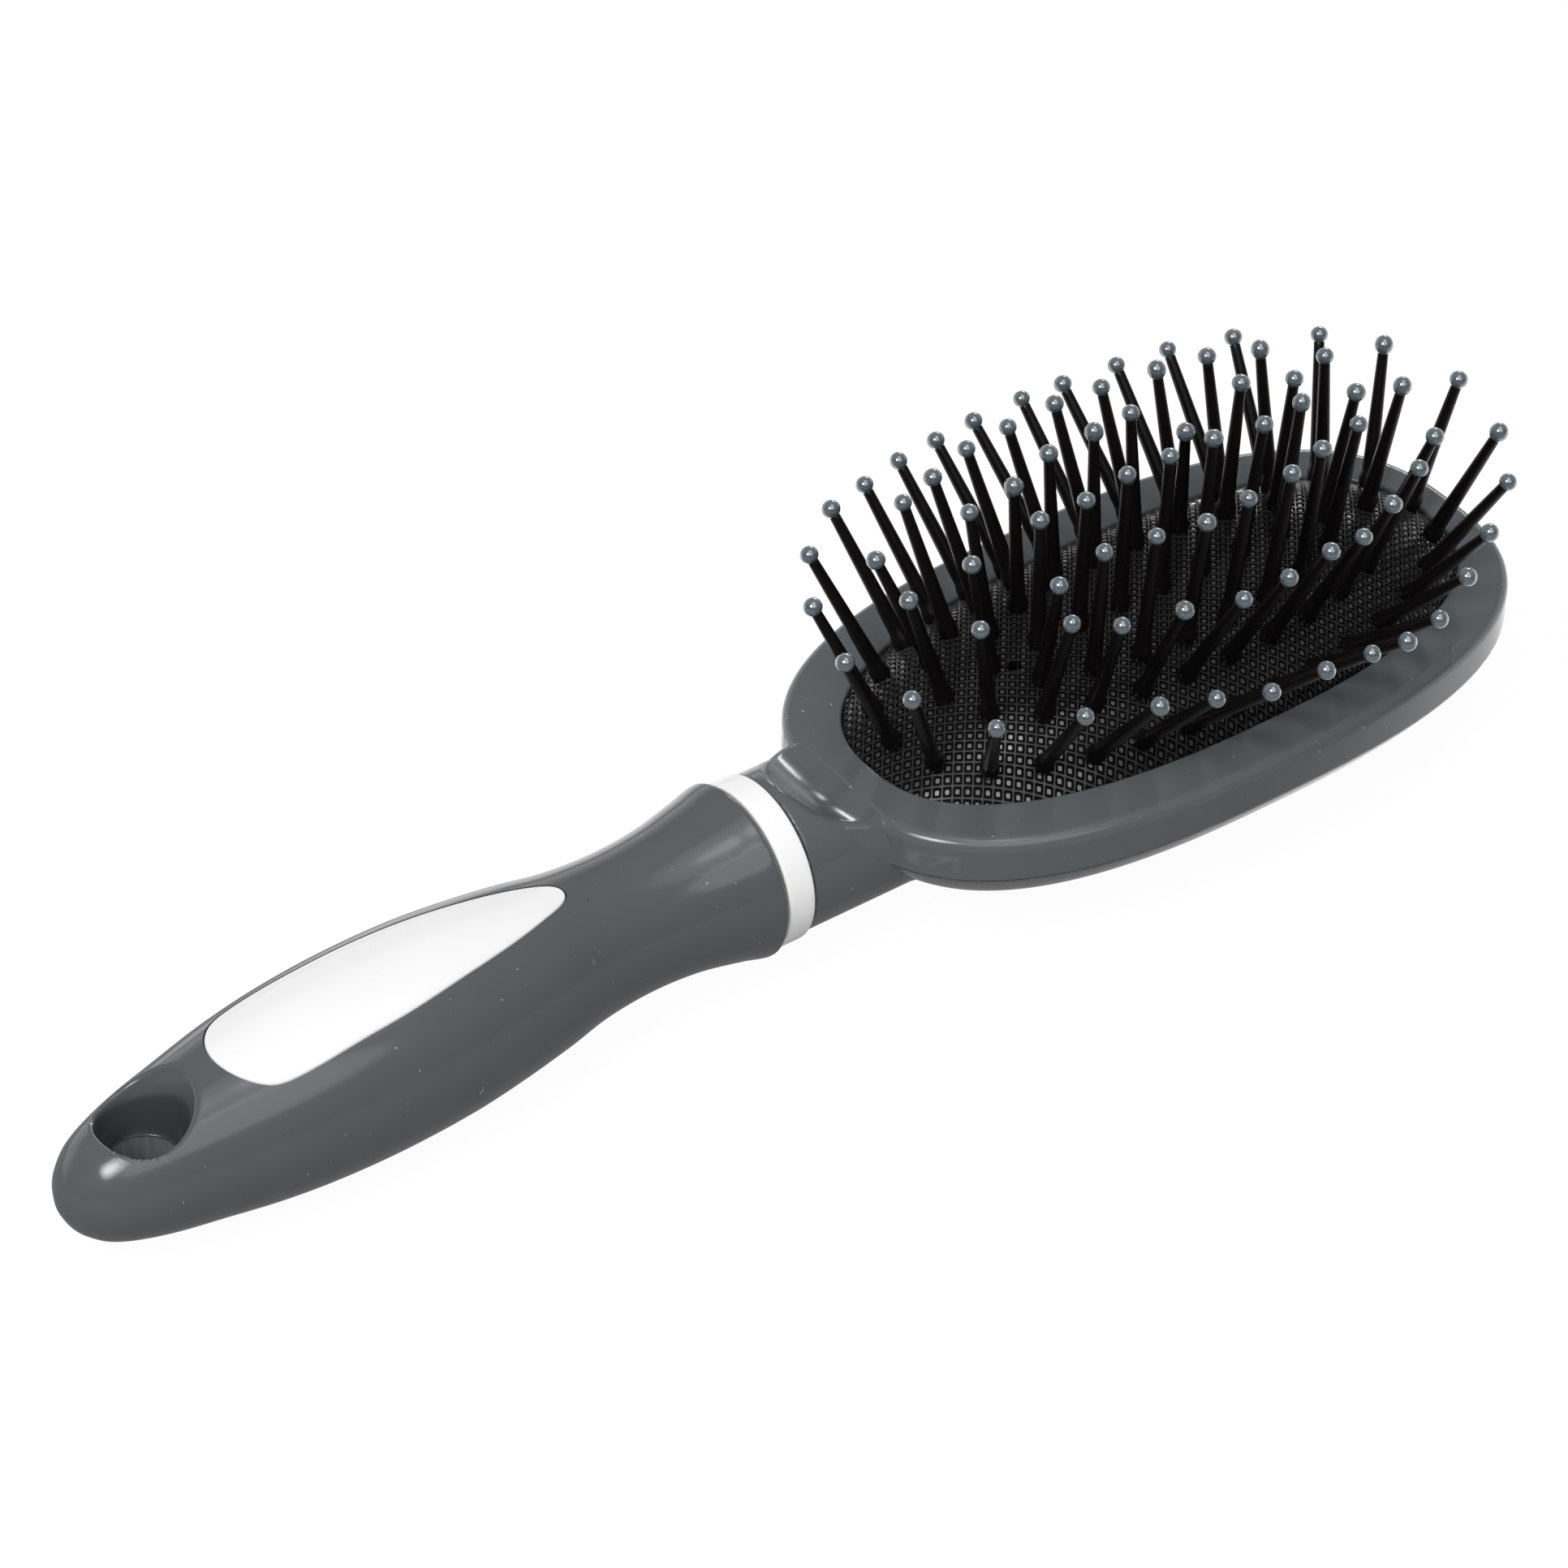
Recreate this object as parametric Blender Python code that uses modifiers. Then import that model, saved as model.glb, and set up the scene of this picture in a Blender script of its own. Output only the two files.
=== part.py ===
"""A pocket styling brush with an air cushion, as separate pieces at their real size.

The brush lies on its back with the pins up. +X runs along the handle towards the head's
tip, and +Z points out of the pins. The origin is under the middle of the whole brush, on
the surface that it lies on. Every size is in metres.
"""

import math

import bmesh
import bpy
from mathutils import Vector

# Gaps, overruns and facets
FIT_GAP = 0.0003          # between two pieces that touch on the real brush
OVERRUN = 0.0040          # how far a cutter runs past what it cuts
TURNED_SIDES = 32
BORE_SIDES = 24
SHARP_ANGLE = math.radians(35)

# Head, as an oval seen from the pins
HEAD_HALF_LENGTH = 0.0406
HEAD_HALF_WIDTH = 0.0225
HEAD_SQUARENESS = 2.63    # exponent of the oval: 2 is an ellipse
BACK_DEPTH = 0.0166       # from the rim's face to the surface that the brush lies on
OVAL_POINTS = 48

# Front frame: the rim round the cushion, and the upper side wall
RIM_WIDTH_AT_ENDS = 0.0040  # the mean of the two ends
RIM_WIDTH_AT_SIDES = 0.00574
OPENING_HALF_LENGTH = HEAD_HALF_LENGTH - RIM_WIDTH_AT_ENDS
OPENING_HALF_WIDTH = HEAD_HALF_WIDTH - RIM_WIDTH_AT_SIDES
OPENING_SQUARENESS = 2.47
OPENING_FORWARD = 0.00078  # the opening sits this far towards the tip
RIM_ROUNDING = 0.0013
LIP_THICKNESS = 0.0014
FRAME_DEPTH = 0.0044
FRAME_WALL = 0.0018

# Head shell: the lower side wall and the bulged back
EDGE_DEPTH = 0.0055       # where the side wall turns into the back
EDGE_TUCK = 0.00035       # how far the wall has drawn in there
BACK_EDGE_TURN = math.radians(60)  # how far round its curve the bulge has come there
BACK_FLAT_CUT = 0.0005    # taken off the bulge to rest on
BACK_CREST_HALF_LENGTH = 0.0160
BACK_RINGS = 6
FLOOR_WALL = 0.0020
LEDGE_WIDTH = 0.0049      # the wall's top, which carries the seat ring

# Neck and tang
NECK_AXIS_DEPTH = 0.0054  # below the rim's face
NECK_RADIUS = 0.0084
NECK_LENGTH_SHOWN = 0.0075
NECK_NOSE_REACH = 0.0160  # how far the neck runs into the head
NECK_NOSE_RINGS = 5
NECK_SCOOP_RADIUS = 0.0078
NECK_SCOOP_HEIGHT = 0.0060
NECK_SCOOP_RINGS = 6
TANG_RADIUS = 0.0046
TANG_IN_GRIP = 0.0330
TANG_CHAMFER = 0.0010

# Collar ring
COLLAR_RADIUS = 0.0088
COLLAR_WIDTH = 0.0031
COLLAR_EDGE = 0.0003

# Grip
GRIP_LENGTH = 0.0775
GRIP_HALF_WIDTH = 0.0105
GRIP_HALF_HEIGHT = 0.00985
GRIP_AXIS_DROP = 0.00325  # how far the tail's middle lies below the neck's axis
GRIP_DROP_BEND = 1.75     # exponent of the drop along the grip
GRIP_SIDES = 32
GRIP_LONGEST_STEP = 0.05  # of the grip's length; a longer one is halved
# Along the grip, half width and half height
grip_section_shares = (
    (0.000, 0.857, 0.914),
    (0.006, 0.876, 0.934),
    (0.041, 0.824, 0.859),
    (0.106, 0.729, 0.772),
    (0.175, 0.698, 0.744),
    (0.248, 0.731, 0.780),
    (0.317, 0.831, 0.868),
    (0.390, 0.917, 0.938),
    (0.459, 0.975, 0.984),
    (0.532, 0.998, 1.000),
    (0.601, 0.991, 0.994),
    (0.674, 0.953, 0.962),
    (0.743, 0.883, 0.903),
    (0.815, 0.777, 0.809),
    (0.875, 0.685, 0.725),
    (0.921, 0.590, 0.629),
    (0.954, 0.490, 0.523),
    (0.974, 0.381, 0.406),
    (0.988, 0.262, 0.279),
    (1.000, 0.067, 0.071),
)

# Hanging hole through the grip's tail
HOLE_FROM_TAIL = 0.0095
HOLE_MOUTH_RADIUS = 0.0046
HOLE_WAIST_RADIUS = 0.00375
HOLE_MOUTH_HEIGHT = 0.0059  # from the waist to each mouth
HOLE_SIDES = 20

# Insert let into the grip's top
INSERT_LENGTH = 0.0395
INSERT_HALF_WIDTH = 0.0059
INSERT_FROM_TAIL = 0.0175
INSERT_THICKNESS = 0.0012
INSERT_STATIONS = 16
INSERT_ACROSS = 6
# Half a turn along the leaf, from its blunt end to its tip, and the half width there
insert_width_shares = (
    (0.000, 0.000),
    (0.116, 0.610),
    (0.189, 0.898),
    (0.274, 0.992),
    (0.396, 0.985),
    (0.486, 0.945),
    (0.586, 0.819),
    (0.693, 0.637),
    (0.807, 0.402),
    (0.893, 0.214),
    (1.000, 0.000),
)
INSERT_FIRST_SHARE, INSERT_LAST_SHARE = 0.02, 0.98

# Cushion pad
PAD_WALL = 0.0010
PAD_STEP = 0.0005         # from the rim's face down to the pad's edge
PAD_CROWN_SHARE = 0.3759  # of the opening's half width
PAD_CROWN = PAD_CROWN_SHARE * OPENING_HALF_WIDTH
PAD_CREST_HALF_LENGTH = 0.0092
PAD_SQUARENESS = 2.2
PAD_FULLNESS = 3.6        # exponent of the crown's rise
PAD_POINTS = OVAL_POINTS // 3  # every third point of the head's ovals, so it stays inside
pad_level_shares = (0.0, 0.24, 0.45)
PAD_CHORD_SAG = 0.0005    # how far the pad's flat faces fall short of its smooth crown
VENT_RADIUS = 0.00065
VENT_BACK, VENT_ASIDE = 0.0170, 0.0006  # towards the grip and to the near side
VENT_SIDES = 6

# Seat ring under the pad's flange
SEAT_RING_THICKNESS = 0.0014

# Pins
PIN_LENGTH = 0.0162       # from the pad to the middle of the ball
PIN_ROOT_RADIUS = 0.00088
PIN_END_RADIUS = 0.00055
BALL_RADIUS = 0.00095
BALL_TOP_HEIGHT, BALL_TOP_RADIUS = 0.00076, 0.00052  # the flat that stands for its crown
PIN_SIDES = 6
PIN_HOLE_SIDES = 4
STRIP_THICKNESS = 0.0011
STRIP_HALF_WIDTH = 0.0012
STRIP_OVERHANG = 0.0013   # past a strip's first and last pin
STEPS_PER_PIN = 60        # how finely a ring's length is measured
# Each ring's name, level on the pad, pins and strips
pin_ring_shares = (
    ("outer", 0.140, 30, 6),
    ("second", 0.335, 24, 6),
    ("third", 0.550, 18, 6),
)
CENTRE_PINS = 7
CENTRE_HALF_LENGTH = 0.0156
CENTRE_LEAN = 0.0012      # how far the end balls lean out along the line

# Places that follow from the sizes above
NECK_END = -HEAD_HALF_LENGTH - NECK_LENGTH_SHOWN
COLLAR_END = NECK_END - COLLAR_WIDTH - 2 * FIT_GAP
GRIP_END = COLLAR_END - GRIP_LENGTH
PAD_HALF_LENGTH = OPENING_HALF_LENGTH - FIT_GAP
PAD_HALF_WIDTH = OPENING_HALF_WIDTH - FIT_GAP
FLANGE_TOP = -LIP_THICKNESS - FIT_GAP
FLANGE_BOTTOM = FLANGE_TOP - PAD_WALL
SEAT_TOP = FLANGE_BOTTOM - FIT_GAP
SHELL_TOP = -FRAME_DEPTH - FIT_GAP


def oval(half_length, half_width, squareness, height, forward=0.0, count=OVAL_POINTS):
    """Points of a superellipse, level at this height."""
    points = []
    for i in range(count):
        turn = 2 * math.pi * i / count
        c, s = math.cos(turn), math.sin(turn)
        x = half_length * math.copysign(abs(c) ** (2 / squareness), c)
        y = half_width * math.copysign(abs(s) ** (2 / squareness), s)
        points.append(Vector((x + forward, y, height)))
    return points


def smooth(table, key, column):
    """A column of the table at this key, on a smooth curve through its rows."""
    i = max(j for j in range(len(table) - 1) if j == 0 or table[j][0] <= key)
    rows = [table[min(max(i + k, 0), len(table) - 1)] for k in (-1, 0, 1, 2)]
    before, start, end, after = rows
    span = end[0] - start[0]
    t = (key - start[0]) / span
    leave = (end[column] - before[column]) / max(end[0] - before[0], span)
    arrive = (after[column] - start[column]) / max(after[0] - start[0], span)
    return (
        start[column] * (2 * t**3 - 3 * t**2 + 1)
        + end[column] * (3 * t**2 - 2 * t**3)
        + leave * span * (t**3 - 2 * t**2 + t)
        + arrive * span * (t**3 - t**2)
    )


def pad_level(share):
    """Half length, half width and height of the pad's level at this share of the way up."""
    rise = PAD_CROWN * (1 - (1 - share) ** PAD_FULLNESS)
    half_length = PAD_HALF_LENGTH - (PAD_HALF_LENGTH - PAD_CREST_HALF_LENGTH) * share
    return half_length, PAD_HALF_WIDTH * (1 - share), rise - PAD_STEP


def pad_normal(point, share):
    """The pad's outward direction at a point of this level."""
    half_length, half_width, _ = pad_level(share)
    x, y = point.x - OPENING_FORWARD, point.y
    n = PAD_SQUARENESS
    along = math.copysign(n * abs(x) ** (n - 1) / half_length**n, x)
    across = math.copysign(n * abs(y) ** (n - 1) / half_width**n, y)
    crest_gap = PAD_HALF_LENGTH - PAD_CREST_HALF_LENGTH
    inward = (
        n * abs(x) ** n * crest_gap / half_length ** (n + 1)
        + n * abs(y) ** n * PAD_HALF_WIDTH / half_width ** (n + 1)
    )
    steepness = PAD_CROWN * PAD_FULLNESS * (1 - share) ** (PAD_FULLNESS - 1) / inward
    return Vector((steepness * along, steepness * across, 1)).normalized()


def pad_ring(share, depth=0.0):
    """One level of the pad, sunk this far under its outer skin."""
    half_length, half_width, height = pad_level(share)
    points = oval(
        half_length, half_width, PAD_SQUARENESS, height, OPENING_FORWARD, PAD_POINTS
    )
    return [p - pad_normal(p, share) * depth for p in points]


def spaced(half_length, half_width, count):
    """Points of an oval at even steps along its edge, from the handle's end round."""
    fine = oval(half_length, half_width, PAD_SQUARENESS, 0, count=count * STEPS_PER_PIN)
    start = len(fine) // 2
    fine = fine[start:] + fine[: start + 1]
    lengths = [0.0]
    for a, b in zip(fine, fine[1:]):
        lengths.append(lengths[-1] + (b - a).length)
    points = []
    for i in range(count):
        wanted = lengths[-1] * i / count
        j = max(k for k in range(len(fine) - 1) if lengths[k] <= wanted)
        part = (wanted - lengths[j]) / (lengths[j + 1] - lengths[j])
        points.append(fine[j].lerp(fine[j + 1], part))
    return points


def ring_pins(share, count):
    """Root and direction of each pin in a ring."""
    half_length, half_width, height = pad_level(share)
    pins = []
    for p in spaced(half_length, half_width, count):
        root = Vector((p.x + OPENING_FORWARD, p.y, height))
        pins.append((root, pad_normal(root, share)))
    return pins


def centre_pins():
    """Root and direction of each pin on the middle line."""
    height = PAD_CROWN - PAD_STEP
    step = 2 * CENTRE_HALF_LENGTH / (CENTRE_PINS - 1)
    pins = []
    for i in range(CENTRE_PINS):
        x = step * i - CENTRE_HALF_LENGTH
        lean = CENTRE_LEAN / PIN_LENGTH * x / CENTRE_HALF_LENGTH
        pins.append((Vector((x + OPENING_FORWARD, 0, height)), Vector((lean, 0, 1)).normalized()))
    return pins


def front_reach():
    """How far the foremost ball reaches past the head's middle."""
    _, share, count, _ = pin_ring_shares[0]
    return max((root + out * PIN_LENGTH).x for root, out in ring_pins(share, count)) + BALL_RADIUS


PLACE = Vector((-(front_reach() + GRIP_END) / 2, 0, BACK_DEPTH))


def mesh_object(name, bm, collection):
    """A mesh object whose points are moved to the brush's place on its surface."""
    mesh = bpy.data.meshes.new(name)
    bmesh.ops.translate(bm, vec=PLACE, verts=bm.verts)
    bmesh.ops.recalc_face_normals(bm, faces=bm.faces)
    bm.to_mesh(mesh)
    bm.free()
    obj = bpy.data.objects.new(name, mesh)
    collection.objects.link(obj)
    mesh.shade_smooth()
    mesh.set_sharp_from_angle(angle=SHARP_ANGLE)
    return obj


def add_loft(bm, rings, closed=False):
    """Skins the rings one after the other, with a cap on each end or closed on itself."""
    made = [[bm.verts.new(p) for p in ring] for ring in rings]
    pairs = list(zip(made, made[1:]))
    if closed:
        pairs.append((made[-1], made[0]))
    for a, b in pairs:
        for i in range(len(a)):
            j = (i + 1) % len(a)
            bm.faces.new((a[i], a[j], b[j], b[i]))
    if not closed:
        bm.faces.new(made[0])
        bm.faces.new(list(reversed(made[-1])))


def loft(name, rings, collection, closed=False):
    bm = bmesh.new()
    add_loft(bm, rings, closed)
    return mesh_object(name, bm, collection)


def turned(name, profile, collection, steps, place, along_x=False):
    """A profile of (radius, height) points, top to bottom, turned about its axis."""
    mesh = bpy.data.meshes.new(name)
    points = [(radius, 0, height) for radius, height in profile]
    mesh.from_pydata(points, [(i, i + 1) for i in range(len(points) - 1)], [])
    obj = bpy.data.objects.new(name, mesh)
    collection.objects.link(obj)
    obj.location = PLACE + place
    if along_x:
        obj.rotation_euler = (0, math.pi / 2, 0)
    screw = obj.modifiers.new("Turn", "SCREW")
    screw.steps = screw.render_steps = steps
    screw.use_merge_vertices = True
    screw.merge_threshold = FIT_GAP / 10
    screw.use_smooth_shade = True
    return obj


def boolean(obj, other, operation="DIFFERENCE"):
    modifier = obj.modifiers.new(f"{operation.title()} {other.name}", "BOOLEAN")
    modifier.operation = operation
    modifier.solver = "EXACT"
    modifier.object = other
    other.hide_render = True
    other.display_type = "WIRE"


def material(name, colour, roughness, metallic=0.0):
    made = bpy.data.materials.new(name)
    made.use_nodes = True
    shader = made.node_tree.nodes["Principled BSDF"]
    shader.inputs["Base Color"].default_value = (*colour, 1)
    shader.inputs["Roughness"].default_value = roughness
    shader.inputs["Metallic"].default_value = metallic
    made.diffuse_color = (*colour, 1)
    return made


def head_oval(inset, height, count=OVAL_POINTS):
    """The head's outline, drawn in by this much."""
    length, width = HEAD_HALF_LENGTH - inset, HEAD_HALF_WIDTH - inset
    return oval(length, width, HEAD_SQUARENESS, height, count=count)


def opening_oval(inset, height, count=OVAL_POINTS):
    """The outline of the frame's opening, drawn in by this much."""
    length, width = OPENING_HALF_LENGTH - inset, OPENING_HALF_WIDTH - inset
    return oval(length, width, OPENING_SQUARENESS, height, OPENING_FORWARD, count)


def front_frame(parts):
    """The rim that holds the cushion down, with a rounded outer edge."""
    bend = RIM_ROUNDING * (1 - math.sqrt(0.5))
    return loft(
        "front_frame",
        [
            opening_oval(0, 0),
            head_oval(RIM_ROUNDING, 0),
            head_oval(bend, -bend),
            head_oval(0, -RIM_ROUNDING),
            head_oval(0, -FRAME_DEPTH),
            head_oval(FRAME_WALL, -FRAME_DEPTH),
            head_oval(FRAME_WALL, -LIP_THICKNESS),
            opening_oval(0, -LIP_THICKNESS),
        ],
        parts,
        closed=True,
    )


def bulge_rings(wall, first_half_width):
    """Levels of the back's round bulge, sunk by a wall, from this wide down to its flat."""
    deepest = BACK_DEPTH + BACK_FLAT_CUT - EDGE_DEPTH - wall
    widest = HEAD_HALF_WIDTH - EDGE_TUCK - wall
    edge = math.cos(BACK_EDGE_TURN)
    slimming = (HEAD_HALF_LENGTH - BACK_CREST_HALF_LENGTH) / HEAD_HALF_WIDTH
    start = math.asin(first_half_width / widest * math.sin(BACK_EDGE_TURN))
    end = math.acos(1 - BACK_FLAT_CUT / deepest * (1 - edge))
    rings = []
    for i in range(BACK_RINGS + 1):
        turn = start + (end - start) * i / BACK_RINGS
        width = widest * math.sin(turn) / math.sin(BACK_EDGE_TURN)
        depth = deepest * (math.cos(turn) - edge) / (1 - edge)
        length = HEAD_HALF_LENGTH - (HEAD_HALF_WIDTH - width) * slimming
        rings.append(oval(length, width, HEAD_SQUARENESS, -EDGE_DEPTH - depth))
    return rings


def neck_and_tang(cutters):
    """The round neck from inside the head to the collar, and the tang in the grip."""
    nose = -HEAD_HALF_LENGTH + NECK_NOSE_REACH
    tang_end = COLLAR_END - TANG_IN_GRIP
    profile = [(0, nose)]
    for i in range(1, NECK_NOSE_RINGS + 1):
        turn = math.pi / 2 * i / NECK_NOSE_RINGS
        profile.append((NECK_RADIUS * math.sin(turn), nose - NECK_RADIUS * (1 - math.cos(turn))))
    profile += [
        (NECK_RADIUS, NECK_END),
        (TANG_RADIUS, NECK_END),
        (TANG_RADIUS, tang_end + TANG_CHAMFER),
        (TANG_RADIUS - TANG_CHAMFER, tang_end),
        (0, tang_end),
    ]
    axis = Vector((0, 0, -NECK_AXIS_DEPTH))
    return turned("neck_and_tang", profile, cutters, TURNED_SIDES, axis, along_x=True)


def head_shell(parts, cutters):
    """The bulged back with the neck and tang, open at the front for the cushion's air."""
    outside = bulge_rings(0, HEAD_HALF_WIDTH - EDGE_TUCK)
    shell = loft("head_shell", [head_oval(0, SHELL_TOP)] + outside, parts)
    boolean(shell, neck_and_tang(cutters), "UNION")

    # The air space: straight below the ledge, then following the back
    inside = bulge_rings(FLOOR_WALL, HEAD_HALF_WIDTH - LEDGE_WIDTH)
    ledge = [Vector((p.x, p.y, OVERRUN)) for p in inside[0]]
    boolean(shell, loft("air_space_cutter", [ledge] + inside, cutters))

    # The frame's seat, and the hollow curve that brings the neck down to the rim
    clear = [head_oval(-FIT_GAP, SHELL_TOP), head_oval(-FIT_GAP, 0)]
    for i in range(1, NECK_SCOOP_RINGS + 1):
        height = NECK_SCOOP_HEIGHT * (i / NECK_SCOOP_RINGS) ** 2
        flare = math.sqrt(2 * NECK_SCOOP_RADIUS * height - height**2)
        clear.append(head_oval(-FIT_GAP - flare, height))
    boolean(shell, loft("frame_seat_cutter", clear, cutters))
    return shell


def pad_seat_ring(parts):
    """The retainer that holds the pad's flange up against the frame."""
    bottom = SEAT_TOP - SEAT_RING_THICKNESS
    outer = FRAME_WALL + FIT_GAP
    return loft(
        "pad_seat_ring",
        [
            opening_oval(0, SEAT_TOP),
            head_oval(outer, SEAT_TOP),
            head_oval(outer, bottom),
            opening_oval(0, bottom),
        ],
        parts,
        closed=True,
    )


def add_prism(bm, base, direction, stations, sides, flat_first=False):
    """A prism along a direction, from (distance, radius) stations."""
    outward = Vector((direction.x, direction.y, 0))
    side = outward if outward.length else Vector((1, 0, 0))
    side = (side - direction * side.dot(direction)).normalized()
    other = direction.cross(side)
    start = 0.5 if flat_first else 0
    rings = []
    for distance, radius in stations:
        centre = base + direction * distance
        rings.append(
            [
                centre
                + side * (radius * math.cos(2 * math.pi * (i + start) / sides))
                + other * (radius * math.sin(2 * math.pi * (i + start) / sides))
                for i in range(sides)
            ]
        )
    add_loft(bm, rings)


def all_pins():
    pins = []
    for _, share, count, _ in pin_ring_shares:
        pins += ring_pins(share, count)
    return pins + centre_pins()


def cushion_pad(parts, cutters):
    """The rubber cushion: a crowned skin with a flange, a hole for each pin and a vent."""
    flange = FRAME_WALL + FIT_GAP
    rings = [pad_ring(s) for s in reversed(pad_level_shares)]
    rings += [
        opening_oval(FIT_GAP, FLANGE_TOP, PAD_POINTS),
        head_oval(flange, FLANGE_TOP, PAD_POINTS),
        head_oval(flange, FLANGE_BOTTOM, PAD_POINTS),
        opening_oval(FIT_GAP + PAD_WALL, FLANGE_BOTTOM, PAD_POINTS),
    ]
    rings += [pad_ring(s, PAD_WALL) for s in pad_level_shares]
    pad = loft("cushion_pad", rings, parts)

    bm = bmesh.new()
    reach = PAD_WALL * 2
    wide = (PIN_ROOT_RADIUS + FIT_GAP) / math.cos(math.pi / PIN_HOLE_SIDES)
    for root, out in all_pins():
        stations = [(-reach, wide), (reach, wide)]
        add_prism(bm, root, out, stations, PIN_HOLE_SIDES, flat_first=True)
    vent = Vector((-VENT_BACK, -VENT_ASIDE, PAD_CROWN - PAD_STEP))
    add_prism(
        bm, vent, Vector((0, 0, 1)), [(-reach, VENT_RADIUS), (reach, VENT_RADIUS)], VENT_SIDES
    )
    boolean(pad, mesh_object("pin_hole_cutter", bm, cutters))
    pad.modifiers[-1].use_self = True
    return pad


def strip_depth(out):
    """How far below a pin's root the top of its strip lies, clear of the pad's inside."""
    slope = math.hypot(out.x, out.y) / out.z
    return (PAD_WALL + FIT_GAP) / out.z + STRIP_HALF_WIDTH * slope + PAD_CHORD_SAG


def pin_strip(name, pins, parts, cutters):
    """A slice of the backing under the pad, with its pins fused to it."""
    top = pins[0][0].z - max(strip_depth(out) for _, out in pins)
    middle = top - STRIP_THICKNESS / 2
    feet = [root - out * ((root.z - middle) / out.z) for root, out in pins]
    first = feet[0] - (feet[1] - feet[0]).normalized() * STRIP_OVERHANG
    last = feet[-1] + (feet[-1] - feet[-2]).normalized() * STRIP_OVERHANG
    path = [first] + feet + [last]
    up = Vector((0, 0, STRIP_THICKNESS / 2))
    sections = []
    for i, p in enumerate(path):
        ahead = path[min(i + 1, len(path) - 1)] - path[max(i - 1, 0)]
        side = Vector((0, 0, 1)).cross(ahead).normalized() * STRIP_HALF_WIDTH
        sections.append([p - side - up, p + side - up, p + side + up, p - side + up])
    strip = loft(name, sections, parts)

    bm = bmesh.new()
    for root, out in pins:
        foot = (middle - root.z) / out.z
        add_prism(
            bm,
            root,
            out,
            [
                (foot, PIN_ROOT_RADIUS),
                (PIN_LENGTH - BALL_RADIUS, PIN_END_RADIUS),
                (PIN_LENGTH, BALL_RADIUS),
                (PIN_LENGTH + BALL_TOP_HEIGHT, BALL_TOP_RADIUS),
            ],
            PIN_SIDES,
        )
    boolean(strip, mesh_object(f"{name}_shafts", bm, cutters), "UNION")
    return strip


def pin_strips(parts, cutters):
    strips = []
    for ring, share, count, groups in pin_ring_shares:
        pins = ring_pins(share, count)
        size = count // groups
        for g in range(groups):
            name = f"{ring}_pins_{g + 1}"
            strips.append(pin_strip(name, pins[g * size : (g + 1) * size], parts, cutters))
    strips.append(pin_strip("centre_pins", centre_pins(), parts, cutters))
    return strips


def collar_ring(parts):
    """The pale ring between the neck and the grip, bored for the tang."""
    front = NECK_END - FIT_GAP
    back = front - COLLAR_WIDTH
    bore = TANG_RADIUS + FIT_GAP
    profile = [
        (bore, front),
        (COLLAR_RADIUS - COLLAR_EDGE, front),
        (COLLAR_RADIUS, front - COLLAR_EDGE),
        (COLLAR_RADIUS, back + COLLAR_EDGE),
        (COLLAR_RADIUS - COLLAR_EDGE, back),
        (bore, back),
        (bore, front),
    ]
    axis = Vector((0, 0, -NECK_AXIS_DEPTH))
    return turned("collar_ring", profile, parts, TURNED_SIDES, axis, along_x=True)


def grip_section(share):
    """Half width, half height and middle height of the grip at this share of its length."""
    width = GRIP_HALF_WIDTH * smooth(grip_section_shares, share, 1)
    height = GRIP_HALF_HEIGHT * smooth(grip_section_shares, share, 2)
    middle = -NECK_AXIS_DEPTH - GRIP_AXIS_DROP * share**GRIP_DROP_BEND
    return width, height, middle


def grip_top(x, y):
    """Height of the grip's upper surface over this place."""
    width, height, middle = grip_section((COLLAR_END - x) / GRIP_LENGTH)
    return middle + height * math.sqrt(max(1 - (y / width) ** 2, 0))


def leaf_sections(grow, above, below):
    """The insert's outline across the grip, grown by a gap, from above to below its top."""
    blunt = GRIP_END + INSERT_FROM_TAIL
    sections = []
    for i in range(INSERT_STATIONS + 1):
        span = INSERT_LAST_SHARE - INSERT_FIRST_SHARE
        key = INSERT_FIRST_SHARE + span * i / INSERT_STATIONS
        x = blunt + INSERT_LENGTH * (1 - math.cos(math.pi * key)) / 2
        x -= grow * math.cos(math.pi * key)
        half = INSERT_HALF_WIDTH * smooth(insert_width_shares, key, 1) + grow
        across = [half * (2 * j / INSERT_ACROSS - 1) for j in range(INSERT_ACROSS + 1)]
        top = [Vector((x, y, grip_top(x, y) + above)) for y in across]
        bottom = [Vector((x, y, grip_top(x, y) - below)) for y in reversed(across)]
        sections.append(top + bottom)
    return sections


def handle_insert(parts):
    """The leaf-shaped plate that lies flush in the grip's top, left bare."""
    return loft("handle_insert", leaf_sections(0, 0, INSERT_THICKNESS), parts)


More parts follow.
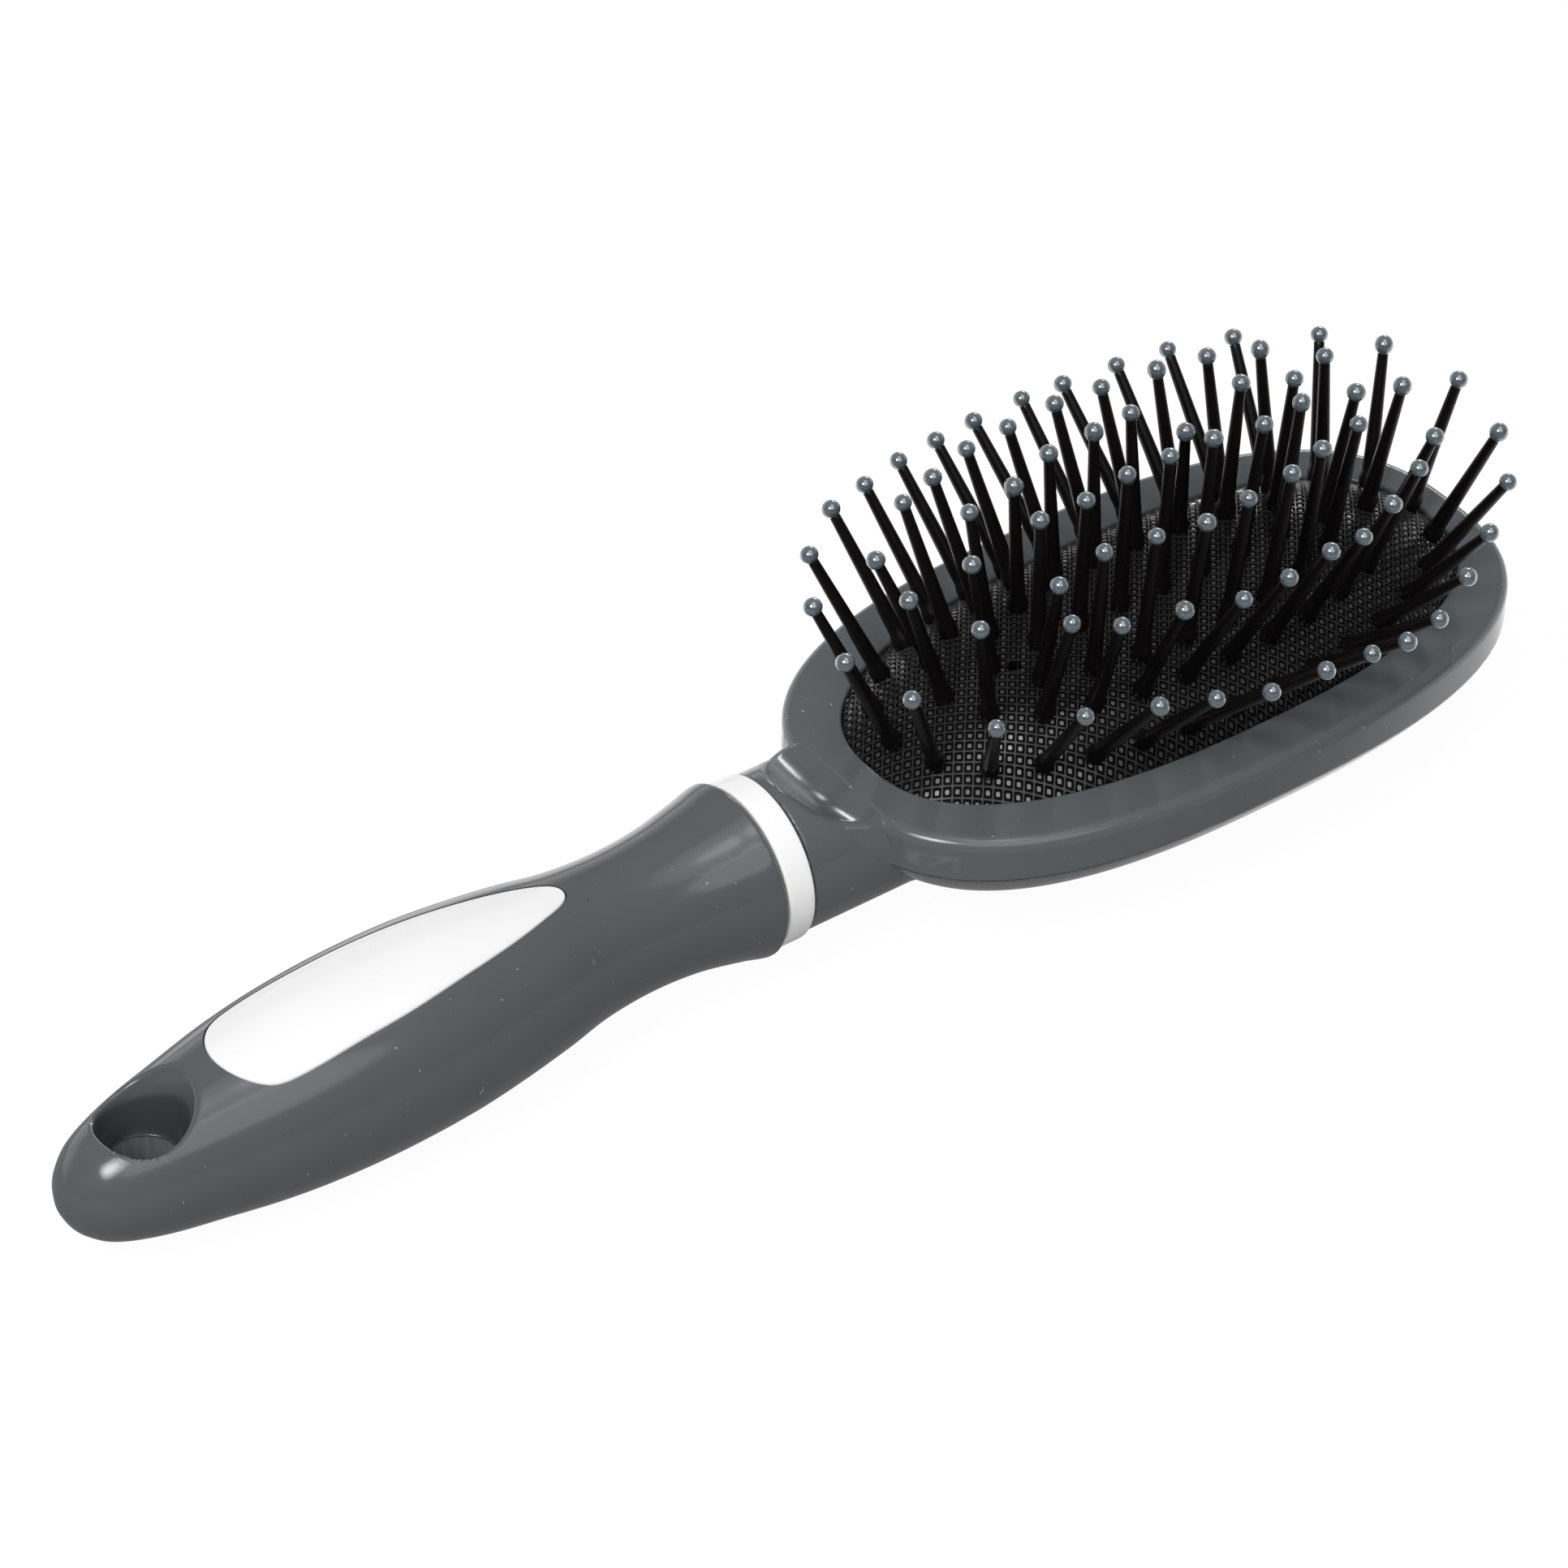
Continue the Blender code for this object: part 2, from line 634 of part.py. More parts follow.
def handle_grip(parts, cutters):
    """The waisted grip, bored for the tang, with the insert's recess and the hanging hole."""
    sections = []
    for i, row in enumerate(grip_section_shares):
        nexts = grip_section_shares[min(i + 1, len(grip_section_shares) - 1)]
        shares = [row[0]]
        if nexts[0] - row[0] > GRIP_LONGEST_STEP:
            shares.append((row[0] + nexts[0]) / 2)
        for share in shares:
            width, height, middle = grip_section(share)
            x = COLLAR_END - GRIP_LENGTH * share
            section = []
            for j in range(GRIP_SIDES):
                turn = 2 * math.pi * j / GRIP_SIDES
                y, z = width * math.cos(turn), middle + height * math.sin(turn)
                section.append(Vector((x, y, z)))
            sections.append(section)
    grip = loft("handle_grip", sections, parts)

    bore = TANG_RADIUS + FIT_GAP
    bore_end = COLLAR_END - TANG_IN_GRIP - FIT_GAP
    bore_start = COLLAR_END + OVERRUN
    profile = [(0, bore_start), (bore, bore_start), (bore, bore_end), (0, bore_end)]
    axis = Vector((0, 0, -NECK_AXIS_DEPTH))
    boolean(grip, turned("tang_bore_cutter", profile, cutters, BORE_SIDES, axis, along_x=True))

    recess = leaf_sections(FIT_GAP, OVERRUN, INSERT_THICKNESS + FIT_GAP)
    boolean(grip, loft("insert_recess_cutter", recess, cutters))

    taper = (HOLE_MOUTH_RADIUS - HOLE_WAIST_RADIUS) / HOLE_MOUTH_HEIGHT
    reach = HOLE_MOUTH_HEIGHT + OVERRUN
    end_radius = HOLE_WAIST_RADIUS + taper * reach
    profile = [
        (0, reach),
        (end_radius, reach),
        (HOLE_WAIST_RADIUS, 0),
        (end_radius, -reach),
        (0, -reach),
    ]
    _, _, waist = grip_section(1 - HOLE_FROM_TAIL / GRIP_LENGTH)
    place = Vector((GRIP_END + HOLE_FROM_TAIL, 0, waist))
    boolean(grip, turned("hanging_hole_cutter", profile, cutters, HOLE_SIDES, place))
    return grip


def clear_scene():
    for obj in list(bpy.data.objects):
        bpy.data.objects.remove(obj)


def main():
    clear_scene()
    parts = bpy.data.collections.new("pocket_styling_brush")
    cutters = bpy.data.collections.new("cutters")
    for collection in (parts, cutters):
        bpy.context.scene.collection.children.link(collection)

    slate = material("slate_gloss_plastic", (0.081, 0.095, 0.107), 0.12)
    white = material("white_gloss_plastic", (0.90, 0.90, 0.91), 0.15)
    rubber = material("black_rubber", (0.012, 0.011, 0.011), 0.45)
    nylon = material("black_nylon", (0.010, 0.009, 0.009), 0.35)

    finishes = {
        front_frame(parts): slate,
        head_shell(parts, cutters): slate,
        handle_grip(parts, cutters): slate,
        collar_ring(parts): white,
        handle_insert(parts): white,
        cushion_pad(parts, cutters): rubber,
        pad_seat_ring(parts): nylon,
    }
    finishes.update({strip: nylon for strip in pin_strips(parts, cutters)})
    for obj, finish in finishes.items():
        obj.data.materials.append(finish)


main()
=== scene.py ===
"""The looks of a pocket styling brush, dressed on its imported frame.

Sizes are in metres. The head's own frame has its origin in the middle of the rim's face,
with +X towards the head's tip and +Z out of the pins, and HEAD moves it to the brush's place.
"""

from functools import partialmethod

import bmesh
import bpy
import numpy as np
from mathutils import Matrix, Vector


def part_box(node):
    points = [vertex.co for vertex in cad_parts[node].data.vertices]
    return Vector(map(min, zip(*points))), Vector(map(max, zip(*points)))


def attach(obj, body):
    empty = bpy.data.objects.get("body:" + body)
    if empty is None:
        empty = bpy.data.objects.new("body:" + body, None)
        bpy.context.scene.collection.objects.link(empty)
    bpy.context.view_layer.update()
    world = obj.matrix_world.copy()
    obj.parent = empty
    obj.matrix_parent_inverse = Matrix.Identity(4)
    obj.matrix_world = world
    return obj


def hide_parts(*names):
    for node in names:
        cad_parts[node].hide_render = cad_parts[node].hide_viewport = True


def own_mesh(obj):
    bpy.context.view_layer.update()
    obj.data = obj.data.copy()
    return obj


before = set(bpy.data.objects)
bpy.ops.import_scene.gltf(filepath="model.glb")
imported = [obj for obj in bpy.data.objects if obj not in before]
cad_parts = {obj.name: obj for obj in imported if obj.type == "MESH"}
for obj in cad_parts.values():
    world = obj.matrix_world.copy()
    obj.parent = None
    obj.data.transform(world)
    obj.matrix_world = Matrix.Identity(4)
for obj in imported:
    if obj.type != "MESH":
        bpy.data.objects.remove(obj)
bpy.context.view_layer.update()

# Head, rim and back
HEAD_HALF_LENGTH = 0.0406
HEAD_HALF_WIDTH = 0.0225
HEAD_SQUARENESS = 2.63
BACK_DEPTH = 0.0166
RIM_ROUNDING = 0.0013
FRAME_DEPTH = 0.0047
EDGE_DEPTH = 0.0053
EDGE_TUCK = 0.00035
BACK_EDGE_TURN = np.radians(60)
BACK_FLAT_CUT = 0.0005
BACK_SLIMMING = 1.0933      # how much faster the back draws in lengthwise
AIR_SPACE_DEPTH = 0.0065
AIR_SPACE_WIDER = 0.0007

# Opening and cushion
OPENING_HALF_LENGTH = 0.0363
OPENING_HALF_WIDTH = 0.01676
OPENING_SQUARENESS = 2.47
OPENING_FORWARD = 0.00078
OPENING_SHORTER_AHEAD = 0.0006
LIP_THICKNESS = 0.0014
LIP_COVER = 0.0012
LIP_ROUNDING = 0.0003
PAD_HALF_LENGTH = 0.0363
PAD_HALF_WIDTH = 0.01646
PAD_SQUARENESS = 2.2
PAD_STEP = 0.0005
PAD_INSET = -0.00002
PAD_CROWN = 0.0063
PAD_CREST_HALF_LENGTH = 0.0092
PAD_FULLNESS = 3.6
PAD_WALL = 0.0010
PAD_FLANGE_INSET = 0.0023
WAFFLE_PITCH = 0.00100
WAFFLE_TURN = np.radians(51.3)
WAFFLE_DEPTH = 0.00020
VENT = (-0.0186, -0.0010)
VENT_RADIUS = 0.00075

# Neck, collar and grip
NECK_AXIS_DEPTH = 0.0054
NECK_RADIUS = 0.0084
NECK_END = -0.0481
NECK_NOSE = -0.0330         # where the neck's rounded end inside the head begins
NECK_SCOOP_RADIUS = 0.0078
NECK_TOP_ROUNDING = 0.0005
NECK_FACET_ALONG = 0.0031    # the facet's reach along the neck at the rim's face
NECK_FACET_ACROSS = 0.0009   # and along the head's side wall
COLLAR_RADIUS = 0.0088
COLLAR_WIDTH = 0.0031
COLLAR_WALL = 0.0030
GAP = 0.0003
COLLAR_END = -0.0518
GRIP_LENGTH = 0.0773
GRIP_HALF_WIDTH = 0.0105
GRIP_HALF_HEIGHT = 0.00985
GRIP_AXIS_DROP = 0.00325
GRIP_DROP_BEND = 1.75
HOLE_FROM_TAIL = 0.0093
HOLE_MOUTH_RADIUS = 0.00455
HOLE_WAIST_RADIUS = 0.00375
HOLE_MOUTH_HEIGHT = 0.0059
HOLE_LIP = 0.0005
HOLE_MOUTH_STRETCH = 0.12    # how much longer the upper mouth is across than along
HOLE_MOUTH_SHIFT = 0.0003
INSERT_LENGTH = 0.0395
INSERT_HALF_WIDTH = 0.0059
INSERT_FROM_TAIL = 0.0173
INSERT_THICKNESS = 0.0012
INSERT_GAP = 0.00012
GRIP_END = COLLAR_END - GRIP_LENGTH

grip_section_shares = np.array((
    (0.000, 0.857, 0.914), (0.006, 0.876, 0.934), (0.041, 0.824, 0.859),
    (0.106, 0.729, 0.772), (0.175, 0.698, 0.744), (0.248, 0.731, 0.780),
    (0.317, 0.831, 0.868), (0.390, 0.917, 0.938), (0.459, 0.975, 0.984),
    (0.532, 0.998, 1.000), (0.601, 0.991, 0.994), (0.674, 0.953, 0.962),
    (0.743, 0.883, 0.903), (0.815, 0.777, 0.809), (0.875, 0.685, 0.725),
    (0.921, 0.590, 0.629), (0.954, 0.490, 0.523), (0.974, 0.381, 0.406),
    (0.988, 0.262, 0.279), (1.000, 0.067, 0.071),
))
insert_width_shares = np.array((
    (0.000, 0.000), (0.116, 0.610), (0.189, 0.898), (0.274, 0.992), (0.396, 0.985),
    (0.486, 0.945), (0.586, 0.819), (0.693, 0.640), (0.807, 0.415), (0.893, 0.258),
    (0.955, 0.125), (1.000, 0.000),
))

# Pins: each ring's body, name, level on the pad and count, and its balls' middles in mm
PIN_FOOT = 0.0016           # how far a pin goes on under the pad's skin
BALL_RADIUS = 0.00095
pin_rings = (
    ("outer_ring", "outer_pins", 0.105, 30, (
        (-39.9, -1.1, 15.9), (-37.9, -9.2, 15.8), (-33.0, -16.2, 14.7), (-25.2, -20.0, 15.1),
        (-18.1, -22.6, 14.8), (-12.4, -24.3, 14.2), (-6.7, -25.8, 13.4), (-0.1, -26.2, 13.3),
        (5.5, -26.5, 13.0), (10.1, -26.5, 12.4), (14.9, -25.7, 12.5), (20.5, -23.3, 13.7),
        (26.0, -20.1, 14.7), (32.2, -15.7, 15.6), (36.4, -9.4, 16.1), (39.0, -0.2, 16.0),
        (37.4, 9.6, 15.1), (33.7, 15.5, 14.4), (26.4, 20.6, 14.0), (19.8, 23.2, 13.6),
        (14.0, 24.4, 13.3), (7.7, 25.3, 13.0), (2.4, 25.4, 13.3), (-3.7, 25.5, 13.0),
        (-9.0, 24.9, 13.2), (-14.5, 23.9, 13.6), (-20.0, 22.3, 14.0), (-25.7, 20.3, 14.7),
        (-32.1, 15.3, 15.0), (-37.3, 7.7, 15.8),
    )),
    ("second_ring", "second_pins", 0.335, 24, (
        (-31.8, -0.4, 19.4), (-28.9, -8.0, 19.5), (-21.4, -12.7, 19.9), (-17.1, -15.1, 19.3),
        (-10.6, -16.7, 19.3), (-4.4, -18.2, 18.8), (1.3, -18.2, 18.9), (7.1, -17.6, 19.2),
        (11.6, -17.3, 18.8), (17.0, -15.3, 19.2), (22.7, -12.6, 19.5), (27.7, -9.2, 19.2),
        (30.3, -1.1, 19.4), (27.4, 7.6, 19.1), (22.9, 12.5, 18.8), (17.7, 14.7, 18.8),
        (12.1, 15.9, 18.7), (5.7, 16.9, 18.6), (0.1, 17.4, 18.6), (-6.1, 17.1, 18.5),
        (-11.8, 16.5, 18.6), (-17.5, 14.6, 18.7), (-22.8, 12.5, 19.2), (-30.1, 7.2, 18.7),
    )),
    ("third_ring", "third_pins", 0.550, 18, (
        (-24.4, -0.7, 20.7), (-19.4, -8.1, 20.7), (-13.4, -7.5, 21.7), (-7.7, -8.5, 21.8),
        (-2.1, -9.4, 21.6), (3.5, -9.0, 21.8), (9.5, -8.4, 21.9), (14.6, -7.0, 21.9),
        (20.4, -5.7, 21.7), (24.0, -1.1, 21.3), (20.5, 4.4, 21.1), (15.5, 6.8, 21.2),
        (6.9, 4.9, 19.9), (3.2, 9.2, 21.2), (-1.8, 8.8, 21.2), (-7.7, 8.6, 21.2),
        (-13.7, 6.5, 21.0), (-19.9, 5.6, 21.1),
    )),
    ("centre_row", "centre_pins", None, 7, (
        (-15.7, -0.2, 22.0), (-10.0, -0.3, 22.0), (-4.3, 0.4, 22.2), (1.1, 0.4, 22.2),
        (6.6, 0.3, 22.1), (12.4, -0.6, 21.9), (17.7, 0.0, 22.0),
    )),
)
CENTRE_HALF_LENGTH = 0.0156
BRUSH_MIDDLE = 0.012        # the height that the lamps face

rim_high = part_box("front_frame")[1]
HEAD = np.array((rim_high.x - HEAD_HALF_LENGTH, 0, rim_high.z))


class Value:
    """A node socket that takes part in sums, so that node maths is written as Python."""

    def __init__(self, graph, socket):
        self.graph, self.socket = graph, socket

    def math(self, operation, *others):
        links = dict(enumerate((self, *others)))
        return self.graph.node("ShaderNodeMath", {"operation": operation}, links)

    __add__ = __radd__ = partialmethod(math, "ADD")
    __sub__ = partialmethod(math, "SUBTRACT")
    __mul__ = __rmul__ = partialmethod(math, "MULTIPLY")
    __truediv__ = partialmethod(math, "DIVIDE")
    __pow__ = partialmethod(math, "POWER")
    __abs__ = partialmethod(math, "ABSOLUTE")
    most = partialmethod(math, "MAXIMUM")

    def __rsub__(self, other):
        return self.math("MULTIPLY", -1).math("ADD", other)

    def rise(self, low, high):
        """0 below low, 1 above high, smooth between."""
        return self.graph.node(
            "ShaderNodeMapRange",
            {"interpolation_type": "SMOOTHSTEP", "clamp": True},
            {0: self, 1: low, 2: high, 3: 0.0, 4: 1.0},
        )

    def band(self, start, full, past, end):
        """0 outside start and end, 1 from full to past, smooth between."""
        return self.rise(start, full) * (1 - self.rise(past, end))


class Graph:
    """A node tree, of a material or of Geometry Nodes, and the one way its nodes are made."""

    def __init__(self, tree):
        self.tree = tree

    def feed(self, socket, value):
        """Links a value to a socket, or sets the socket to it."""
        if isinstance(value, Value):
            self.tree.links.new(value.socket, socket)
        else:
            socket.default_value = value

    def node(self, kind, settings=None, links=None, out=0):
        made = self.tree.nodes.new(kind)
        for key, value in (settings or {}).items():
            setattr(made, key, value)
        for key, value in (links or {}).items():
            self.feed(made.inputs[key], value)
        if isinstance(out, tuple):
            return [Value(self, made.outputs[key]) for key in out]
        return Value(self, made.outputs[out]) if len(made.outputs) else made

    def colour(self, a, b, share):
        """From colour a to colour b by this share."""
        links = {0: share}
        for key, value in ((6, a), (7, b)):
            links[key] = value if isinstance(value, Value) else (*value, 1)
        return self.node("ShaderNodeMix", {"data_type": "RGBA"}, links, out=2)

    def split(self, vector):
        return self.node("ShaderNodeSeparateXYZ", None, {0: vector}, out=("X", "Y", "Z"))

    def joined(self, x, y, z):
        return self.node("ShaderNodeCombineXYZ", None, {0: x, 1: y, 2: z})


class Finish(Graph):
    """A material, with its shader's sockets set by name."""

    def __init__(self, name):
        self.material = bpy.data.materials.new(name)
        self.material.use_nodes = True
        super().__init__(self.material.node_tree)
        self.shader = self.tree.nodes["Principled BSDF"]
        self.where = self.node("ShaderNodeTexCoord", None, None, out=("Object",))[0]
        self.x, self.y, self.z = self.split(self.where)

    def noise(self, scale, detail=2.0, rough=0.5, stretch=None, turn=0.0):
        """A noise over the piece, drawn out along an axis for marks that run one way."""
        where = self.where
        if stretch:
            links = {"Vector": where, "Scale": stretch, "Rotation": (0, 0, turn)}
            where = self.node("ShaderNodeMapping", None, links)
        links = {"Vector": where, "Scale": scale, "Detail": detail, "Roughness": rough}
        return self.node("ShaderNodeTexNoise", None, links)

    def set(self, **sockets):
        for key, value in sockets.items():
            value = (*value, 1) if isinstance(value, tuple) else value
            self.feed(self.shader.inputs[key.replace("_", " ")], value)

    def bumps(self, *heights):
        """Normals from several reliefs, each given as (height, depth in metres)."""
        normal = None
        for height, depth in heights:
            links = {"Height": height, "Strength": 1.0, "Distance": depth}
            if normal:
                links["Normal"] = normal
            normal = self.node("ShaderNodeBump", None, links)
        return normal


SLATE = (0.094, 0.102, 0.109)
WEAR_SHARE = 0.87           # how far along the grip the wear in the hole has its edge
# Where the painted reflection lies on the head's side wall: a pale patch that stands in for a
# reflected light
PAINTED_REFLECTION_ALONG = np.array((-0.0388, -0.0380, -0.0356, -0.0350))
PAINTED_REFLECTION_HEIGHTS = np.array((-0.0040, -0.0030, -0.0024, -0.0014))
PAINTED_REFLECTION_ACROSS = (-0.009, -0.008)


def slate_plastic(name, level):
    """Gloss slate plastic: a faint cloudiness, moulding waves, hairline scuffs and dust."""
    f = Finish(name)
    cloud = f.noise(45, 3)
    scuffs = f.noise(900, 2, 0.6, stretch=(1.0, 0.09, 1.0), turn=0.9).rise(0.70, 0.78)
    dust = f.noise(2300, 1).rise(0.79, 0.82)
    pits = f.noise(1900, 1, stretch=(1.0, 0.5, 1.0), turn=0.5).rise(0.80, 0.83)
    curls = 1 - abs(f.noise(210, 1) - 0.5).rise(0.0, 0.010)
    curls = curls * f.noise(95, 1).rise(0.68, 0.76)
    scuff = (scuffs * f.noise(70, 2).rise(0.52, 0.66)).most(curls)
    dark, light = (tuple(share * level * c for c in SLATE) for share in (0.93, 1.07))
    base = f.colour(dark, light, cloud)
    base = f.colour(base, (0.20, 0.21, 0.22), scuff * 0.35)
    base = f.colour(base, (0.60, 0.60, 0.60), dust * 0.8)
    base = f.colour(base, (0.010, 0.011, 0.012), pits * 0.7)
    rough = 0.12 + cloud * 0.06 + scuff * 0.20 + dust * 0.3
    waves = (f.noise(150, 2), 0.00003), (f.noise(900, 2), 0.000004)
    return f, base, rough, waves


def head_finish():
    """Slate plastic with the seam round the head's side wall, and a painted reflection beside the
    neck.
    """
    # Painted light: the head's copy of the slate is lighter than the grip's, and stands in for the
    # light on the head's face
    f, base, rough, waves = slate_plastic("slate_gloss_head", 1.04)
    seam = HEAD[2] - FRAME_DEPTH
    ahead = f.x.rise(HEAD[0] - 0.0392, HEAD[0] - 0.0386)
    groove = (1 - abs(f.z - (seam - 0.00012)).rise(0.00004, 0.00012)) * ahead
    step = f.z.rise(seam - 0.0002, seam) * ahead
    base = f.colour(base, (0.012, 0.014, 0.016), groove * 0.8)
    # Painted reflection: a pale cloudy patch on the side wall beside the neck
    painted_reflection = f.x.band(*(HEAD[0] + PAINTED_REFLECTION_ALONG)) * f.z.band(*(HEAD[2] + PAINTED_REFLECTION_HEIGHTS))
    painted_reflection = painted_reflection * (1 - f.y.rise(*PAINTED_REFLECTION_ACROSS)) * f.noise(420, 4, 0.6).rise(0.35, 0.7)
    base = f.colour(base, (0.26, 0.26, 0.27), painted_reflection * 0.45)
    relief = f.bumps(*waves, (step - groove * 0.8, 0.00010))
    f.set(Base_Color=base, Roughness=rough, Normal=relief)
    return f.material


def grip_finish():
    """Slate plastic, with painted shade high in the hanging hole, worn matt low in it, dull at the
    collar.
    """
    # Painted shade: the grip's copy of the slate is darker than the head's, and stands in for the
    # shade on the grip
    f, base, rough, waves = slate_plastic("slate_gloss_grip", 0.91)
    across = f.x - (HEAD[0] + GRIP_END + HOLE_FROM_TAIL)
    out = (across * across + f.y * f.y).math("SQRT")
    in_hole = 1 - out.rise(HOLE_MOUTH_RADIUS - 0.0002, HOLE_MOUTH_RADIUS + 0.0001)
    waist = HEAD[2] + grip_middle(WEAR_SHARE)
    below = 1 - f.z.rise(waist - 0.0002, waist)
    ring = in_hole * (1 - abs(f.z - waist).rise(0.00005, 0.00018))
    matt = in_hole * below
    streaks = f.noise(1400, 3, stretch=(1.0, 1.0, 0.12))
    # Painted shade: the hole's wall above its waist is darkened, and stands in for the shade
    # inside the hole
    base = f.colour(base, (0.042, 0.046, 0.050), in_hole * (1 - below) * 0.9)
    base = f.colour(base, (0.26, 0.26, 0.265), matt * streaks * streaks)
    end = HEAD[0] + COLLAR_END
    dulled = f.x.rise(end - 0.00034, end - 0.00022)
    base = f.colour(base, (0.24, 0.20, 0.11), dulled * 0.7)
    relief = f.bumps(*waves, (ring, 0.0001), (matt * streaks, 0.00006))
    f.set(Base_Color=base, Roughness=rough + matt * 0.30, Normal=relief)
    return f.material


def white_plastic(name, level):
    """Gloss white plastic with a faint cloudiness, specks and handling marks."""
    f = Finish(name)
    cloud = f.noise(60, 3)
    speck = f.noise(1700, 1).rise(0.78, 0.82)
    rub = f.noise(700, 2, stretch=(0.15, 1.0, 1.0), turn=0.3).rise(0.62, 0.8)
    dull, clean = (level - 0.05,) * 3, (level, level, level + 0.012)
    base = f.colour(dull, clean, cloud)
    base = f.colour(base, (0.45, 0.44, 0.42), speck * 0.5)
    f.set(
        Base_Color=base,
        Roughness=0.16 + cloud * 0.08 + rub * 0.12,
        Normal=f.bumps((f.noise(170, 2), 0.00003), (rub, 0.000004)),
    )
    return f.material


def rubber():
    """Black rubber with painted shade in the waffle's grooves, greyer on its squares and shiny
    grey on its raised lines, partly wear and partly painted sheen.
    """
    f = Finish("black_rubber_waffle")
    relief = f.node("ShaderNodeAttribute", {"attribute_name": "relief"}, None, out=("Fac",))[0]
    worn = f.noise(260, 3)
    grain = f.noise(6000, 2)
    line = relief.rise(0.75, 1.0)
    square = relief.rise(0.20, 0.60) * (1 - line)
    # Painted shade and sheen: near black in the grooves and greyer on the raised squares, more so
    # where the noise marks wear
    base = f.colour((0.0007, 0.0006, 0.0006), (0.018, 0.018, 0.018), square * (0.4 + 0.6 * worn))
    # Painted sheen, partly wear: lighter grey on the raised lines
    base = f.colour(base, (0.022, 0.021, 0.020), line * (0.3 + 0.7 * worn))
    f.set(
        Base_Color=base,
        Roughness=0.60 - line * 0.20 + worn * 0.08,
        Specular_IOR_Level=0.10,
        Coat_Weight=line * worn * 0.45 + square,
        Coat_IOR=2.1,
        Coat_Roughness=0.20,
        Normal=f.bumps((grain, 0.000010)),
    )
    return f.material


def nylon():
    """Black nylon with a brown cast, satin, with faint flow lines along the pins."""
    f = Finish("black_nylon_pins")
    cloud = f.noise(350, 3)
    grain = f.noise(5000, 2, stretch=(1.0, 1.0, 0.08))
    f.set(
        Base_Color=f.colour((0.0028, 0.0024, 0.0022), (0.0060, 0.0050, 0.0045), cloud),
        Roughness=0.22 + cloud * 0.12,
        Specular_IOR_Level=0.18,
        Normal=f.bumps((grain, 0.000005), (cloud, 0.00002)),
    )
    return f.material


def ball_lacquer():
    """Blue-grey lacquer on the balls, finely speckled, very glossy."""
    f = Finish("tip_grey_lacquer")
    fleck = f.noise(7000, 2).rise(0.42, 0.62)
    pool = f.noise(500, 2)
    base = f.colour((0.068, 0.090, 0.107), (0.118, 0.148, 0.169), fleck)
    f.set(
        Base_Color=f.colour(base, (0.075, 0.100, 0.120), pool * 0.35),
        Roughness=0.09 + fleck * 0.05,
        IOR=1.6,
        Coat_Weight=1.0,
        Coat_IOR=2.2,
        Coat_Roughness=0.05,
        Normal=f.bumps((pool, 0.000006), (fleck, 0.0000005)),
    )
    return f.material


def new_object(name, data):
    """An object with this data, in the scene."""
    made = bpy.data.objects.new(name, data)
    bpy.context.scene.collection.objects.link(made)
    return made


def bake(obj):
    """Makes what the object's modifiers do part of its mesh."""
    done = obj.evaluated_get(bpy.context.evaluated_depsgraph_get())
    shape = bpy.data.meshes.new_from_object(done)
    obj.modifiers.clear()
    obj.data = shape


def new_piece(name, points, faces, material, slot, body="root"):
    """A mesh piece from points in the head's frame, moved to the brush's place."""
    mesh = bpy.data.meshes.new(name)
    faces = faces if isinstance(faces, list) else faces.tolist()
    mesh.from_pydata((points + HEAD).tolist(), [], faces)
    mesh.materials.append(material)
    mesh.shade_smooth()
    made = new_object(name, mesh)
    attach(made, body)
    return made


def tidy(obj, merge=1e-7):
    """Merges doubled points and turns every face outwards."""
    bm = bmesh.new()
    bm.from_mesh(obj.data)
    bmesh.ops.remove_doubles(bm, verts=bm.verts, dist=merge)
    bmesh.ops.dissolve_degenerate(bm, edges=bm.edges, dist=merge)
    bmesh.ops.recalc_face_normals(bm, faces=bm.faces)
    bm.to_mesh(obj.data)
    bm.free()


def smooth(table, key, column):
    """A column of the table at these keys, on a smooth curve through its rows."""
    x, v = table[:, 0], table[:, column]
    i = np.clip(np.searchsorted(x, key, side="right") - 1, 0, len(x) - 2)
    before, after = np.maximum(i - 1, 0), np.minimum(i + 2, len(x) - 1)
    span = x[i + 1] - x[i]
    t = np.clip((key - x[i]) / span, 0, 1)
    leave = (v[i + 1] - v[before]) / np.maximum(x[i + 1] - x[before], span)
    arrive = (v[after] - v[i]) / np.maximum(x[after] - x[i], span)
    return (
        v[i] * (2 * t**3 - 3 * t**2 + 1)
        + v[i + 1] * (3 * t**2 - 2 * t**3)
        + leave * span * (t**3 - 2 * t**2 + t)
        + arrive * span * (t**3 - t**2)
    )


def oval(half_length, half_width, squareness, turn, forward=0.0):
    """X and Y of a superellipse at these turns. The half sizes may differ from turn to turn."""
    c, s = np.cos(turn), np.sin(turn)
    x = half_length * np.sign(c) * np.abs(c) ** (2 / squareness) + forward
    return x, half_width * np.sign(s) * np.abs(s) ** (2 / squareness)


def rounded_meeting(a, b, radius):
    """What two solids share, with the edge where they meet rounded."""
    u, v = np.maximum(radius + a, 0), np.maximum(radius + b, 0)
    return np.minimum(-radius, np.maximum(a, b)) + np.hypot(u, v)


def faceted_union(a, b, from_a, from_b):
    """Two solids together, with a flat facet over the corner where they meet."""
    facet = (a / from_a + b / from_b - 1) / np.hypot(1 / from_a, 1 / from_b)
    return np.minimum(np.minimum(a, b), facet)


def oval_gap(x, y, half_length, half_width, squareness):
    """About how far outside an oval a point lies; negative inside."""
    n = squareness
    a, b = np.abs(x) / half_length, np.abs(y) / half_width
    f = np.maximum((a**n + b**n) ** (1 / n), 1e-6)
    slope = np.hypot(a ** (n - 1) / half_length, b ** (n - 1) / half_width) * f ** (1 - n)
    return (f - 1) / np.maximum(slope, 1e-3)


